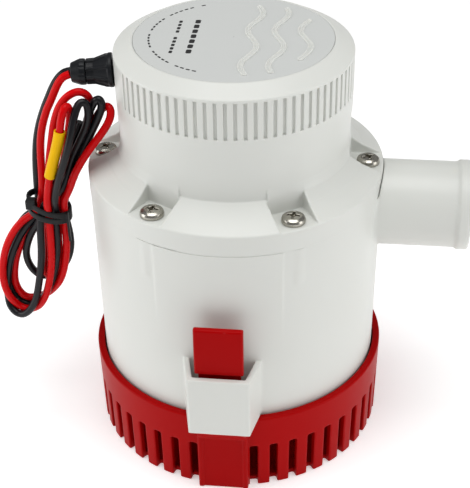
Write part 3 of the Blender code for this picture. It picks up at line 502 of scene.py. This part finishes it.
def pump_housing(p):
    """Tapered wall with the flange shelf, screw bosses, hose spout and the two latch guards."""
    wall = outline(p.r, p.z, [
        (64.0, HOUSING_BOTTOM), (90, HOUSING_BOTTOM, 0.5), (90, FLANGE_JOINT), (55.3, FLANGE_JOINT),
        (55.3, 129.2), (52.6, 129.2), (52.6, 127.0), (64.4, 127.0, 1.5), (63.3, HOUSING_BOTTOM)])
    # shallow raised panel under the flange, fading out downwards
    side_fade = np.clip((25.2 - np.abs(p.around(FRONT - 1.2))) / 0.8, 0, 1)
    panel = 0.4 * side_fade * np.clip((p.z - 82) / 30, 0, 1) * (p.z < FLANGE_JOINT + 1)
    outer = p.r - housing_radius(p.z) - panel
    body = both(wall, outer, 0.12)
    reach, side = p.spoke(SCREW_COUNT, 0)
    boss = np.hypot(side, reach - SCREW_CIRCLE_R - 1.2)
    boss = np.hypot(boss, np.maximum(113.6 - p.z, 0) * 1.3) - 5.9
    boss = both(boss, p.z - FLANGE_JOINT + 0.2)
    outlet_side = np.abs(p.around(0)) < 30
    body = either(body, np.where(outlet_side, NOWHERE, boss), 0.5)
    lower_reach, lower_side = p.spoke(3, 30)
    lower = both(np.hypot(lower_side, lower_reach - 60.0) - 4.6,
                 span(p.z, HOUSING_BOTTOM + 3.1, 46.0))
    body = either(body, lower, 0.5)

    from_axis = np.hypot(p.y, p.z - OUTLET_Z)
    spout = outline(from_axis, p.x, [
        (-9, 65.7), (OUTLET_R, 65.7), (OUTLET_R, 102.3, 0.5), (OUTLET_R + 0.9, 103.2, 0.5),
        (OUTLET_R + 0.9, OUTLET_END_X, 0.9), (OUTLET_BORE_R, OUTLET_END_X, 0.5),
        (OUTLET_BORE_R, OUTLET_BORE_X), (-9, OUTLET_BORE_X)])
    spout = both(spout, np.minimum(p.z - FLANGE_JOINT, RIM_R + GAP - p.r))
    body = either(body, spout, 2.0)
    body = without(body, both(from_axis - OUTLET_BORE_R, OUTLET_BORE_X - p.x), 0.3)
    oval = (np.hypot(p.y / 16.6, (p.z - 113.6) / 10.2) - 1) * 10.2
    body = without(body, both(oval, span(p.x, 52.0, 70.5)), 0.5)
    bore_line = np.hypot(side, reach - SCREW_CIRCLE_R) - 2.3
    body = without(body, both(bore_line, 124.5 - p.z))

    ax, ay = np.abs(p.x), np.abs(p.y)
    plan = outline(ax, ay, [(-9, 79.0), (-9, 82.0), (14.0, 82.0, 0.5), (17.8, 64.5), (15.3, 64.5),
                            (11.9, 79.0, 0.4)])
    guard = both(plan, span(p.z, 42.6, 73.6), 0.7)
    return either(body, guard, 0.5)


HOUSING_GRID = (
    steps((50, 52.2, 2.2), (52.2, 56, 0.6), (56, 62.4, 1.6), (62.4, 70.5, 0.45), (70.5, 84, 0.75),
          (84, 111.6, 1.15)),
    steps((25.4, 27.4, 0.35), (27.4, 41.6, 1.9), (41.6, 44, 0.3), (44, 72.2, 2.0),
          (72.2, 74.4, 0.3), (74.4, 98.4, 1.5), (98.4, 128.4, 0.9), (128.4, 130.4, 0.4),
          (130.4, 131.4, 0.12), (131.4, 142.2, 0.8)))
pump_shell = moulded("pump_housing_shell", pump_housing, HOUSING_GRID, turns=576)
dress(pump_shell, white, "pump", "pump_housing")


# ---------------------------------------------------------------- strainer base

PITCH = 360 / SLOT_COUNT
POST_ANGLES = [PITCH * round((k + 0.5) * 45 / PITCH) + FRONT for k in range(8)]


def strainer_base(p):
    """Slotted cup with two latch feet, inner posts beside slots and four holes in the floor."""
    ring = outline(p.r, p.z, [
        (0.6, 0), (70.1, 0, 0.7), (71.0, BASE_TOP, 0.9), (67.6, BASE_TOP, 0.4), (67.3, 2.5, 0.6),
        (0.6, 2.5)])
    reach, side = p.spoke(SLOT_COUNT, FRONT + PITCH / 2)
    slot = block([(side, -SLOT_WIDTH / 2, SLOT_WIDTH / 2), (p.z, -9, SLOT_TOP),
                  (reach, 66.6, 80)], 0.9)
    at_foot = np.minimum(np.abs(p.around(FRONT)), np.abs(p.around(BACK))) < PITCH
    ring = without(ring, np.where(at_foot, NOWHERE, slot), 0.7)
    ax, ay = np.abs(p.x), np.abs(p.y)
    profile = outline(ay, p.z, [
        (68.2, 0.2), (71.7, 0, 0.6), (71.7, 31.0, 1.0), (76.1, 38.0, 1.0), (76.1, 44.0, 0.4),
        (73.4, 44.0, 0.3), (73.0, BASE_TOP, 0.2), (68.2, BASE_TOP)])
    foot = both(profile, ax - 11.7, 0.7)
    rail = block([(ax, 9.3, 11.7), (ay, 69, 72.3), (p.z, 0, 40)], 0.7)
    ring = either(ring, either(foot, rail, 0.4), 0.5)
    for angle in POST_ANGLES:
        x, y = p.turned(angle)
        post = block([(y, -1.4, 1.4), (x, 61.0, 68.2), (p.z, 1.5, 25.7)], 0.3)
        ring = either(ring, post, 0.4)
    for angle in (45, 135, 225, 315):
        x, y = p.turned(angle)
        hole = outline(np.hypot(x - 44.0, y), p.z, [
            (-5, -3), (2.4, -3), (2.4, 0.6), (4.6, 2.9), (4.6, 6), (-5, 6)])
        ring = without(ring, hole, 0.2)
    return ring


BASE_GRID = (
    steps((0.2, 1, 0.4), (1, 38, 9), (38, 50, 0.7), (50, 60.2, 5), (60.2, 62, 0.5), (62, 66.2, 1.3),
          (66.2, 72.8, 0.35), (72.8, 77, 0.5)),
    steps((-0.5, 3.5, 0.35), (3.5, 23.5, 2.0), (23.5, 26.5, 0.35), (26.5, 30.5, 1.0),
          (30.5, 39.5, 0.8), (39.5, 45, 0.35)))
base = moulded("strainer_base_moulding", strainer_base, BASE_GRID, turns=644)
dress(base, red, "strainer", "strainer_base")


# ---------------------------------------------------------------- latches

def latch(p):
    """Flat tongue with a thumb pad whose front is slightly crowned."""
    y = np.abs(p.y)
    tongue = block([(p.x, -TONGUE_HALF_WIDTH, TONGUE_HALF_WIDTH), (y, 73.5, 76.1),
                    (p.z, 44.3, 78.3)], 0.4)
    crown = PAD_FRONT_Y - 0.35 * ((p.z - 86.6) / 12.4) ** 2 - 0.25 * (p.x / 11) ** 2
    pad = block([(p.x, -PAD_HALF_WIDTH, PAD_HALF_WIDTH), (y, PAD_BACK_Y, PAD_FRONT_Y + 0.8),
                 (p.z, PAD_BOTTOM, PAD_TOP)], 0.7)
    return either(tongue, both(pad, y - crown, 1.2), 0.6)


LATCH_ACROSS = steps((-11.6, 11.6, 0.4))
LATCH_DEPTH = steps((70.6, 79.4, 0.35))
LATCH_HEIGHT = steps((43.8, 45.2, 0.3), (45.2, 73.2, 2), (73.2, 77, 0.35), (77, 97, 1.0),
                     (97, 99.6, 0.3))
for name, depth in (("front", -LATCH_DEPTH[::-1]), ("back", LATCH_DEPTH)):
    tab = moulded("latch_%s_tab" % name, latch, (LATCH_ACROSS, depth, LATCH_HEIGHT), polar=False)
    dress(tab, red, "latch_" + name, "latch_tab_" + name)


# ---------------------------------------------------------------- leads and their hank

# Routes of the two leads from the gland's tip to their bare ends, in millimetres. The first
# ten points of each are the CAD source's; the rest is folded through the tie six times.
RED_ROUTE = [
    (-71.7, -11.8, 186.1), (-74.2, -12.3, 185.2), (-76.7, -12.8, 182.6), (-78.8, -13.1, 178.6),
    (-81.0, -13.5, 173.8), (-85.0, -14.4, 165.2), (-87.4, -15.0, 156.0), (-88.2, -15.4, 145.0),
    (-88.5, -15.6, 134.4), (-88.8, -15.6, 129.2),
    (-90.5, -15.5, 119.0), (-97.5, -16.5, 114.5), (-104.0, -18.0, 107.5), (-109.5, -18.5, 97.0),
    (-112.5, -18.5, 85.0), (-112.5, -18.0, 71.0), (-109.0, -18.0, 60.5), (-101.5, -19.0, 59.0),
    (-94.0, -20.5, 65.5), (-89.0, -21.5, 79.5), (-86.5, -21.5, 93.5), (-86.0, -21.5, 105.5),
    (-85.0, -20.5, 120.0), (-85.0, -18.0, 129.5), (-84.5, -16.5, 142.0), (-82.0, -16.0, 155.0),
    (-80.0, -16.0, 165.0), (-76.0, -16.0, 175.0), (-70.0, -16.0, 180.5), (-65.5, -15.5, 181.5),
    (-62.0, -14.0, 176.5), (-64.0, -12.5, 166.5), (-68.5, -11.5, 154.5), (-74.5, -11.0, 140.5),
    (-80.0, -11.5, 127.0), (-84.5, -12.0, 116.5), (-93.5, -13.0, 110.5), (-102.0, -14.0, 99.0),
    (-108.0, -14.5, 85.0), (-109.5, -14.5, 72.5), (-105.0, -15.0, 63.0), (-97.0, -15.5, 63.5),
    (-89.0, -16.5, 71.5), (-83.0, -17.0, 82.5), (-80.0, -17.5, 96.0), (-79.5, -17.5, 105.5),
    (-79.0, -18.0, 119.5), (-75.5, -19.5, 131.0), (-71.0, -20.5, 142.0), (-64.5, -20.5, 152.5),
    (-57.0, -19.5, 162.0), (-52.5, -17.5, 168.5), (-52.5, -15.0, 174.0), (-56.0, -13.0, 174.0),
    (-60.5, -12.0, 168.0), (-64.5, -12.5, 160.0), (-69.5, -14.0, 150.0), (-76.0, -15.5, 136.5),
    (-81.0, -16.0, 125.5), (-85.0, -16.5, 118.5), (-88.5, -16.5, 111.0), (-90.5, -15.5, 98.5),
    (-92.5, -15.0, 87.5), (-93.0, -15.0, 79.5), (-90.0, -15.5, 74.0), (-86.0, -16.0, 78.0),
    (-84.5, -16.5, 88.5), (-84.0, -17.0, 101.5), (-82.5, -17.5, 119.5), (-80.0, -17.0, 133.0),
    (-76.0, -19.5, 146.0), (-73.3, -21.5, 158.5), (-71.0, -21.0, 168.0), (-70.0, -20.5, 174.5),
    (-70.8, -21.5, 178.5), (-72.8, -24.5, 177.5), (-74.2, -26.0, 170.5), (-75.2, -26.0, 163.0),
    (-78.6, -25.8, 152.0),
    (-82.1, -25.4, 141.0), (-84.5, -23.5, 131.0), (-86.0, -21.0, 121.0)]
BLACK_ROUTE = [
    (-72.1, -8.3, 186.1), (-74.8, -8.6, 185.4), (-77.8, -9.0, 182.8), (-80.5, -9.4, 178.6),
    (-83.0, -9.8, 173.4), (-87.4, -10.6, 163.6), (-90.2, -11.2, 154.0), (-91.6, -11.6, 144.0),
    (-92.2, -12.0, 134.4), (-92.6, -12.1, 128.4),
    (-94.0, -12.5, 116.5), (-100.0, -13.0, 112.0), (-105.5, -13.5, 103.0), (-109.5, -14.0, 91.5),
    (-112.0, -14.0, 78.5), (-112.0, -14.5, 67.5), (-106.5, -15.0, 59.5), (-99.5, -15.5, 60.5),
    (-92.0, -16.5, 69.5), (-87.0, -17.5, 82.5), (-84.5, -18.0, 94.5), (-83.5, -18.5, 106.5),
    (-83.5, -17.0, 117.5), (-81.6, -22.5, 128.6), (-78.0, -26.5, 140.1), (-73.8, -28.5, 150.5),
    (-71.6, -28.5, 157.2), (-69.4, -26.5, 166.3), (-68.8, -23.0, 173.0), (-67.5, -18.5, 178.0),
    (-63.5, -18.0, 178.5), (-62.0, -17.5, 173.5), (-64.5, -17.0, 163.5), (-69.5, -16.5, 153.0),
    (-74.5, -17.0, 141.5), (-79.0, -19.0, 130.5), (-88.5, -20.5, 120.5), (-90.5, -22.0, 113.0),
    (-90.5, -22.5, 104.0), (-91.5, -22.5, 92.5), (-94.0, -22.5, 79.5), (-97.5, -22.5, 65.5),
    (-104.5, -21.5, 57.0), (-110.5, -20.0, 59.0), (-112.5, -17.0, 68.0), (-110.5, -16.0, 82.5),
    (-105.5, -15.5, 96.5), (-98.0, -15.0, 109.0), (-88.5, -12.5, 116.5), (-81.0, -12.5, 127.5),
    (-74.5, -14.0, 141.0), (-69.0, -15.0, 153.5), (-65.5, -15.5, 164.0), (-63.0, -15.5, 172.5),
    (-59.5, -16.0, 179.0), (-56.5, -16.5, 179.0), (-56.0, -17.0, 174.5), (-59.5, -17.0, 167.0),
    (-64.0, -17.0, 159.0), (-69.5, -17.5, 148.5), (-75.0, -16.5, 134.5), (-81.0, -14.0, 118.5),
    (-79.5, -13.0, 108.5), (-78.5, -12.5, 98.5), (-79.5, -12.5, 91.0), (-82.5, -12.5, 84.0),
    (-88.5, -12.5, 77.0), (-95.0, -13.0, 74.5), (-100.0, -13.5, 80.0), (-102.2, -14.0, 88.5),
    (-100.2, -14.0, 98.0), (-94.5, -15.0, 108.5), (-88.0, -16.5, 118.0), (-84.0, -16.5, 127.0),
    (-78.0, -15.5, 140.0), (-72.0, -14.5, 154.0), (-68.0, -14.0, 163.0)]
SLEEVE_TOP_Z, SLEEVE_BOTTOM_Z, SLEEVE_R, SLEEVE_WALL = 165.6, 140.6, 2.6, 0.65
LAST_LEG = 52                   # about the length of the red lead after its last upper fold
TIE_X, TIE_Z = -86.3, 120.0     # middle of the tie's oval in plan
TIE_HALF_WIDTH, TIE_HALF_DEPTH, TIE_REACH = 7.8, 5.9, 7.0
ROUTE_STEP = 3.0                # distance between the points that the leads are laid with
LAYING_ROUNDS, LAST_ROUNDS = 220, 40
WIRE_BEVEL_STEPS, SLEEVE_SIDES = 4, 28


def smooth_route(points, parts):
    """Points along a Catmull-Rom curve through the route's own points."""
    knots = np.array(points, float)
    knots = np.vstack([2 * knots[0] - knots[1], knots, 2 * knots[-1] - knots[-2]])
    found = []
    for a, b, c, d in zip(knots, knots[1:], knots[2:], knots[3:]):
        for t in np.arange(parts) / parts:
            found.append(0.5 * (2 * b + (c - a) * t + (2 * a - 5 * b + 4 * c - d) * t ** 2
                                + (3 * b - a - 3 * c + d) * t ** 3))
    return np.array(found + [knots[-2]])


def spaced(line, step):
    """The line with points a step apart."""
    along = np.concatenate([[0], np.cumsum(np.linalg.norm(np.diff(line, axis=0), axis=1))])
    at = np.linspace(0, along[-1], round(along[-1] / step) + 1)
    return np.stack([np.interp(at, along, line[:, k]) for k in range(3)], axis=1)


def bundle(routes):
    """Lay the leads beside and over each other, a diameter apart, close to their routes.

    Each round pushes apart points that are too near, straightens bends, pulls every point
    towards its place on the route, and keeps the leads in the tie and off the housing.
    The last rounds are stiffer, so the folds end smooth.
    """
    lines = [spaced(smooth_route(r, 6), ROUTE_STEP) for r in routes]
    owner = np.concatenate([np.full(len(line), k) for k, line in enumerate(lines)])
    order = np.concatenate([np.arange(len(line)) for line in lines])
    radius = np.full(len(owner), LEAD_D / 2)
    in_sleeve = (owner == 0) & (order > len(lines[0]) - LAST_LEG / ROUTE_STEP)
    points = np.concatenate(lines)
    in_sleeve &= (points[:, 2] < SLEEVE_TOP_Z) & (points[:, 2] > SLEEVE_BOTTOM_Z)
    radius[in_sleeve] = SLEEVE_R
    target = points.copy()
    neighbours = (owner[:, None] == owner[None]) & (np.abs(order[:, None] - order[None]) <= 3)
    room = radius[:, None] + radius[None] + 0.15
    ease = np.array([0.45, 1.0, 0.3])       # they give way in depth before they do sideways
    held = order < 8
    ends = (order == 0) | np.append(order[1:] == 0, True)
    for turn in range(LAYING_ROUNDS):
        stiffness = 0.12 if turn < LAYING_ROUNDS - LAST_ROUNDS else 0.26
        gap = points[:, None] - points[None]
        far = np.sqrt((gap ** 2).sum(-1)) + 1e-6
        push = np.where(neighbours, 0, np.maximum(room - far, 0)) / far
        shift = (gap * push[..., None]).sum(1) * 0.3 * ease
        bend = np.zeros_like(points)
        bend[1:-1] = (points[:-2] + points[2:]) / 2 - points[1:-1]
        bend[ends] = 0
        points = points + shift + stiffness * bend + 0.06 * (target - points)
        # the tie holds them in an oval
        in_tie = np.clip(1 - np.abs(points[:, 2] - TIE_Z) / TIE_REACH, 0, 1)
        across = (points[:, 0] - TIE_X) / TIE_HALF_WIDTH
        deep = (points[:, 1] - HANK_Y) / TIE_HALF_DEPTH
        over = np.maximum(np.hypot(across, deep) - 1, 0) * in_tie
        points[:, 0] -= across * TIE_HALF_WIDTH * over * 0.5
        points[:, 1] -= deep * TIE_HALF_DEPTH * over * 0.5
        # and they lie clear of the motor housing
        r = np.hypot(points[:, 0], points[:, 1])
        out = np.maximum(CAP_R + 2.6 - r, 0) / r
        points[:, :2] *= 1 + out[:, None]
        points[held] = target[held]
    return [points[owner == k] for k in range(len(routes))]


def round_wire(name, points, radius):
    curve = bpy.data.curves.new(name, "CURVE")
    curve.dimensions = "3D"
    curve.bevel_depth = radius * MM
    curve.bevel_resolution = WIRE_BEVEL_STEPS
    curve.use_fill_caps = True
    spline = curve.splines.new("POLY")
    spline.points.add(len(points) - 1)
    spline.points.foreach_set("co", np.hstack([points * MM, np.ones((len(points), 1))]).ravel())
    return add_object(name, curve)


red_line, black_line = (smooth_route(line, 3) for line in bundle([RED_ROUTE, BLACK_ROUTE]))
red_cord = round_wire("lead_red_wire", red_line, LEAD_D / 2)
black_cord = round_wire("lead_black_wire", black_line, LEAD_D / 2)
dress(red_cord, wire_red, "pump", "lead_red", "lead_hank")
dress(black_cord, wire_black, "pump", "lead_black")


def tube(name, path, radius, wall):
    """Open-ended sleeve along a path: outer and inner skins joined at both lips."""
    bm = bmesh.new()
    rings = []
    turns = [2 * math.pi * k / SLEEVE_SIDES for k in range(SLEEVE_SIDES)]
    for i, point in enumerate(path):
        ahead = Vector(path[min(i + 1, len(path) - 1)]) - Vector(path[max(i - 1, 0)])
        side = ahead.cross(Vector((0, 0, 1))).normalized()
        rings.append((Vector(point), side, side.cross(ahead).normalized()))
    profile = [(0, radius - wall), (0, radius)] + [(i, radius) for i in range(1, len(path) - 1)]
    profile += [(len(path) - 1, radius), (len(path) - 1, radius - wall)]
    loops = []
    for i, r in profile:
        centre, side, up = rings[i]
        loops.append([bm.verts.new((centre + (side * math.cos(a) + up * math.sin(a)) * r) * MM)
                      for a in turns])
    for low, high in zip(loops, loops[1:] + loops[:1]):
        for k in range(SLEEVE_SIDES):
            after = (k + 1) % SLEEVE_SIDES
            bm.faces.new((low[k], low[after], high[after], high[k]))
    bmesh.ops.recalc_face_normals(bm, faces=bm.faces)
    mesh = from_bmesh(name, bm)
    mesh.shade_smooth()
    mesh.set_sharp_from_angle(angle=math.radians(50))
    return add_object(name, mesh)


last = red_line[-LAST_LEG:]     # its points are about 1 mm apart
covered = last[(last[:, 2] < SLEEVE_TOP_Z) & (last[:, 2] > SLEEVE_BOTTOM_Z)]
sleeve = tube("marker_sleeve_tube", covered, SLEEVE_R, SLEEVE_WALL)
dress(sleeve, yellow, "pump", "marker_sleeve")


def tie_band(p):
    """Two turns of a flat tie round the leads, with its head and a cut tail."""
    x, y = p.x - TIE_X, p.y - HANK_Y
    near = (np.hypot(x / 8.9, y / 7.1) - 1) * 7.6
    field = None
    for middle, slope in ((117.4, -0.24), (121.2, -0.36)):
        lift = p.z - middle - slope * x - 0.10 * y
        ring = block([(near, 0.2, 1.25), (lift, -1.45, 1.45)], 0.4)
        field = ring if field is None else either(field, ring, 0.3)
    head = block([(x + 7.3, -2.4, 2.4), (y + 4.4, -2.2, 2.2), (p.z - 123.4, -2.5, 2.5)], 0.6)
    field = either(field, head, 0.4)
    tail = block([(x - 9.1 - 0.02 * (122 - p.z), -0.5, 0.5), (y + 4.2, -1.0, 1.0),
                  (p.z, 103.5, 119.0)], 0.3)
    return either(field, tail, 0.5)


tie = moulded("hank_tie_band", tie_band, (steps((-99.5, -74.5, 0.35)), steps((-26.5, -6.5, 0.35)),
                                         steps((102.5, 129.5, 0.35))), polar=False)
dress(tie, tie_black, "pump", "hank_tie")


# ---------------------------------------------------------------- label disc, ribs and print

# each rib: x of its middle line, lowest and highest y, and where its swing starts
WAVE_RIBS = ((7.9, -36.5, 32.8, 7.2), (19.6, -33.5, 31.2, 8.1), (31.3, -20.4, 19.1, 9.0))
WAVE_SWING, WAVE_LENGTH, WAVE_LEAN = 2.7, 35.5, 0.01
WAVE_HALF = 1.45                # half a rib's width
DISC_BOTTOM, DISC_TOP = 200.02, 201.22
PRINT_BOTTOM, PRINT_TOP, ARC_R = 201.16, 201.27, 37.2


def wave_line(middle, low, high, crest):
    """Points down one rib; it swings most towards -X where y is crest."""
    heights = np.linspace(high, low, 25)
    swing = WAVE_SWING * np.cos(2 * math.pi * (heights - crest) / WAVE_LENGTH)
    return [(middle + WAVE_LEAN * (high - y) - across, y) for y, across in zip(heights, swing)]


def label_disc(p):
    return outline(p.r, p.z, [(0.2, DISC_BOTTOM), (PLATE_R + 0.2, DISC_BOTTOM),
                              (PLATE_R + 0.2, DISC_TOP, 0.15), (0.2, DISC_TOP)])


disc = moulded("label_disc", label_disc, (steps((0, 0.6, 0.2), (0.6, 42.6, 6), (42.6, 44.6, 0.15)),
                                          steps((199.8, 201.5, 0.1))), turns=256)
dress(disc, label_grey, "pump", "top_plate")


def waves(p):
    """The wavy ribs: a raised rim on both sides of each, and a lower middle."""
    nearest = None
    for rib in WAVE_RIBS:
        path = wave_line(*rib)
        for (ax, ay), (bx, by) in zip(path, path[1:]):
            dx, dy = bx - ax, by - ay
            share = np.clip(((p.x - ax) * dx + (p.y - ay) * dy) / (dx * dx + dy * dy), 0, 1)
            far = (p.x - ax - dx * share) ** 2 + (p.y - ay - dy * share) ** 2
            nearest = far if nearest is None else np.minimum(nearest, far)
    far = np.sqrt(nearest)
    top = 201.35 + 0.55 * np.exp(-((far - WAVE_HALF + 0.5) / 0.40) ** 2)
    return both(both(far - WAVE_HALF, p.z - top, 0.25), 201.1 - p.z)


ribs = moulded("label_wave_ribs", waves, (steps((2.5, 37.5, 0.28)), steps((-40, 36, 0.28)),
                                          steps((200.95, 202.15, 0.15))), polar=False, rounds=2)
dress(ribs, white, "pump")


def printed(name, patches):
    """Thin patches of print on the disc: (x, y, length, width, turn in degrees) each."""
    bm = bmesh.new()
    for x, y, length, width, turn in patches:
        c, s = math.cos(math.radians(turn)), math.sin(math.radians(turn))
        cut = min(length, width) * 0.22
        hl, hw = length / 2, width / 2
        ring = [(hl - cut, -hw), (hl, -hw + cut), (hl, hw - cut), (hl - cut, hw),
                (-hl + cut, hw), (-hl, hw - cut), (-hl, -hw + cut), (-hl + cut, -hw)]
        low, high = ([bm.verts.new(((x + u * c - v * s) * MM, (y + u * s + v * c) * MM, z * MM))
                      for u, v in ring] for z in (PRINT_BOTTOM, PRINT_TOP))
        bm.faces.new(high)
        bm.faces.new(low[::-1])
        for k in range(8):
            bm.faces.new((low[k], low[(k + 1) % 8], high[(k + 1) % 8], high[k]))
    dress(add_object(name, from_bmesh(name, bm)), ink, "pump")


arc = []
for k in range(30):
    turn = -110 - 4.55 * k
    if k % 6 != 4:
        spot = math.radians(turn)
        arc.append((ARC_R * math.cos(spot), ARC_R * math.sin(spot), 1.9, 0.85, turn + 90))
printed("label_print_arc", arc)
rows = [(-25.3, -17.5 + 3.5 * k, 2.4, 1.5, 90) for k in range(10) if k != 5]
rows += [(-17.6, -16.5 + 5.2 * k, 3.8, 2.4, 90) for k in range(7)]
printed("label_print_rows", rows)


# ---------------------------------------------------------------- screws

def pan_screw(p):
    """Pan head screw with a cross recess, its head's underside at z 0."""
    head = outline(p.r, p.z, [
        (-6, -15.8), (1.4, -15.8), (2.0, -14.8), (2.0, 0), (5.3, 0, 0.25), (5.3, 1.3, 0.5),
        (4.9, 2.3, 0.6), (3.7, 3.05, 1.0), (2.0, 3.35, 1.0), (-6, 3.42)])
    ax, ay = np.abs(p.x), np.abs(p.y)
    taper = 0.18 * (p.z - 3.4)
    arms = np.minimum(both(ax - 2.9 - taper, ay - 0.62 - taper),
                      both(ay - 2.9 - taper, ax - 0.62 - taper))
    well = either(arms, np.hypot(p.x, p.y) - 1.35 - taper, 0.3)
    return without(head, both(well, 1.5 - p.z), 0.18)


SCREW_TURNS = (28, 12, 71, 40, 20, 55)      # how far each screw happens to be turned
SCREW_XY = steps((-5.7, -3.3, 0.3), (-3.3, 3.3, 0.2), (3.3, 5.7, 0.3))
SCREW_GRID = (SCREW_XY, SCREW_XY, steps((-16.1, -14.5, 0.4), (-14.5, -0.5, 2), (-0.5, 3.7, 0.2)))
for k, turned_by in enumerate(SCREW_TURNS):
    spot = (Matrix.Rotation(math.radians(360 / SCREW_COUNT * k), 4, "Z")
            @ Matrix.Translation((SCREW_CIRCLE_R, 0, RIM_Z + 0.05))
            @ Matrix.Rotation(math.radians(turned_by), 4, "Z"))
    screw = moulded("flange_screw_%d_pan" % (k + 1), pan_screw, SCREW_GRID, polar=False,
                    matrix=spot, rounds=2)
    dress(screw, stainless, "pump", "flange_screw_%d" % (k + 1))


# ---------------------------------------------------------------- cable gland

def gland(p):
    """Bell-shaped skirt with eight ribs, on the gland's own axis."""
    body = outline(p.r, p.z, [
        (3.9, 46.0), (4.7, 46.0), (4.7, 53.6), (7.7, 53.6, 0.3), (7.7, 55.2, 0.4), (7.2, 55.8, 0.3),
        (5.5, 60.6, 1.2), (4.9, 62.0, 0.8), (4.9, 65.5, 0.3), (3.9, 65.5)])
    reach, side = p.spoke(8, 0)
    flare = outline(reach, p.z, [(4.5, 55.6), (7.6, 55.6, 0.3), (7.5, 56.8, 0.6), (5.9, 61.6, 0.6),
                                 (5.8, 65.4, 0.4), (4.5, 65.4)])
    rib = both(flare, np.abs(side) - 0.65, 0.5)
    return either(body, rib, 0.5)


def gland_cone(p):
    """Fluted nut that tapers to the leads."""
    nut = outline(p.r, p.z, [
        (4.3, 65.6), (5.7, 65.6, 0.3), (5.9, 66.4, 0.3), (5.9, 68.0, 0.5), (4.3, 72.2, 0.5),
        (3.7, 72.2, 0.3), (3.7, 65.6)])
    reach, side = p.spoke(10, 0)
    flute = np.hypot(reach - 6.25, side) - 0.65
    return without(nut, both(flute, p.z - 68.6), 0.3)


for name, field, low, high, node in (("gland_bell", gland, 45.5, 66, "gland_body"),
                                     ("gland_cone_nut", gland_cone, 65.2, 72.7, "gland_nut")):
    ring = moulded(name, field, (steps((3.2, 9.2, 0.25)), steps((low, high, 0.3))), turns=160,
                   matrix=gland_frame(0))
    dress(ring, gland_black, "pump", node)


# ---------------------------------------------------------------- remaining CAD pieces

CARRIED = {
    white: ["suction_plate", "motor_cup", "impeller"],
    rubber: ["flange_seal", "cup_seal", "gland_grommet", "shaft_seal"],
    wire_red: ["inner_lead_red"],
    wire_black: ["inner_lead_black"],
    zinc_steel: ["motor_can", "motor_end_bell", "brush_spring_a", "brush_spring_b"],
    stainless: ["suction_screw_1", "suction_screw_2", "suction_screw_3", "lower_bearing",
                "upper_bearing", "motor_shaft"],
    core_steel: ["armature_core"],
    copper: ["armature_windings"],
    brass: ["commutator", "impeller_nut"],
    ferrite: ["magnet_left", "magnet_right"],
    board: ["brush_plate"],
    carbon: ["brush_a", "brush_b"],
}
for mat, names in CARRIED.items():
    for name in names:
        mesh = frame["nodes"][name].data
        mesh.materials.clear()
        mesh.materials.append(mat)


# ---------------------------------------------------------------- floor, light and camera

def flat_material(name, color, roughness, glow):
    """Even matt surface; glow lifts it a little, as a lit sweep behind a product is."""
    mat = bpy.data.materials.new(name)
    mat.use_nodes = True
    inputs = mat.node_tree.nodes["Principled BSDF"].inputs
    inputs["Base Color"].default_value = (*color, 1)
    inputs["Roughness"].default_value = roughness
    inputs["Emission Color"].default_value = (1, 1, 1, 1)
    inputs["Emission Strength"].default_value = glow
    return mat


disk = bmesh.new()
bmesh.ops.create_circle(disk, cap_ends=True, radius=6, segments=96)
floor = add_object("floor", from_bmesh("floor", disk))
floor.data.materials.append(flat_material("floor_white", (0.92, 0.92, 0.92), 0.9, 0.36))

world = bpy.context.scene.world or bpy.data.worlds.new("studio")
bpy.context.scene.world = world
world.use_nodes = True
world.node_tree.nodes["Background"].inputs["Color"].default_value = (1, 1, 1, 1)
world.node_tree.nodes["Background"].inputs["Strength"].default_value = 0.28


def softbox(name, spot, aim, size, power):
    """Soft lamp at a spot, aimed at a point; size is its width and height in metres."""
    data = bpy.data.lights.new(name, "AREA")
    data.shape = "RECTANGLE"
    data.size, data.size_y = size
    data.energy = power
    lamp = add_object(name, data)
    lamp.location = spot
    lamp.rotation_mode = "QUATERNION"
    lamp.rotation_quaternion = (Vector(aim) - Vector(spot)).to_track_quat("-Z", "Y")


softbox("left_box", (-1.1, -0.3, 0.45), (0, 0, 0.12), (0.6, 0.9), 5.0)
softbox("right_box", (1.1, -0.3, 0.45), (0, 0, 0.12), (0.6, 0.9), 4.1)
softbox("top_box", (0.0, -0.15, 1.3), (0, 0, 0.1), (1.0, 0.8), 9.4)

# the camera stands a little to the right of the front, looking down
AZIMUTH, ELEVATION, ROLL = math.radians(6.86), math.radians(33.84), math.radians(-1.04)
CAMERA_SPOT = (0.05932, -0.50213, 0.43124)
back = Vector((math.sin(AZIMUTH) * math.cos(ELEVATION), -math.cos(AZIMUTH) * math.cos(ELEVATION),
               math.sin(ELEVATION)))
across = Vector((math.cos(AZIMUTH), math.sin(AZIMUTH), 0))
up = back.cross(across)
right = across * math.cos(ROLL) + up * math.sin(ROLL)
up = up * math.cos(ROLL) - across * math.sin(ROLL)
camera_data = bpy.data.cameras.new("camera")
camera_data.lens = 92.6
camera_data.sensor_width = 36
camera = add_object("camera", camera_data)
stance = Matrix((right, up, back)).transposed().to_4x4()
stance.translation = CAMERA_SPOT
camera.matrix_world = stance
bpy.context.scene.camera = camera
bpy.context.scene.view_settings.view_transform = "Standard"
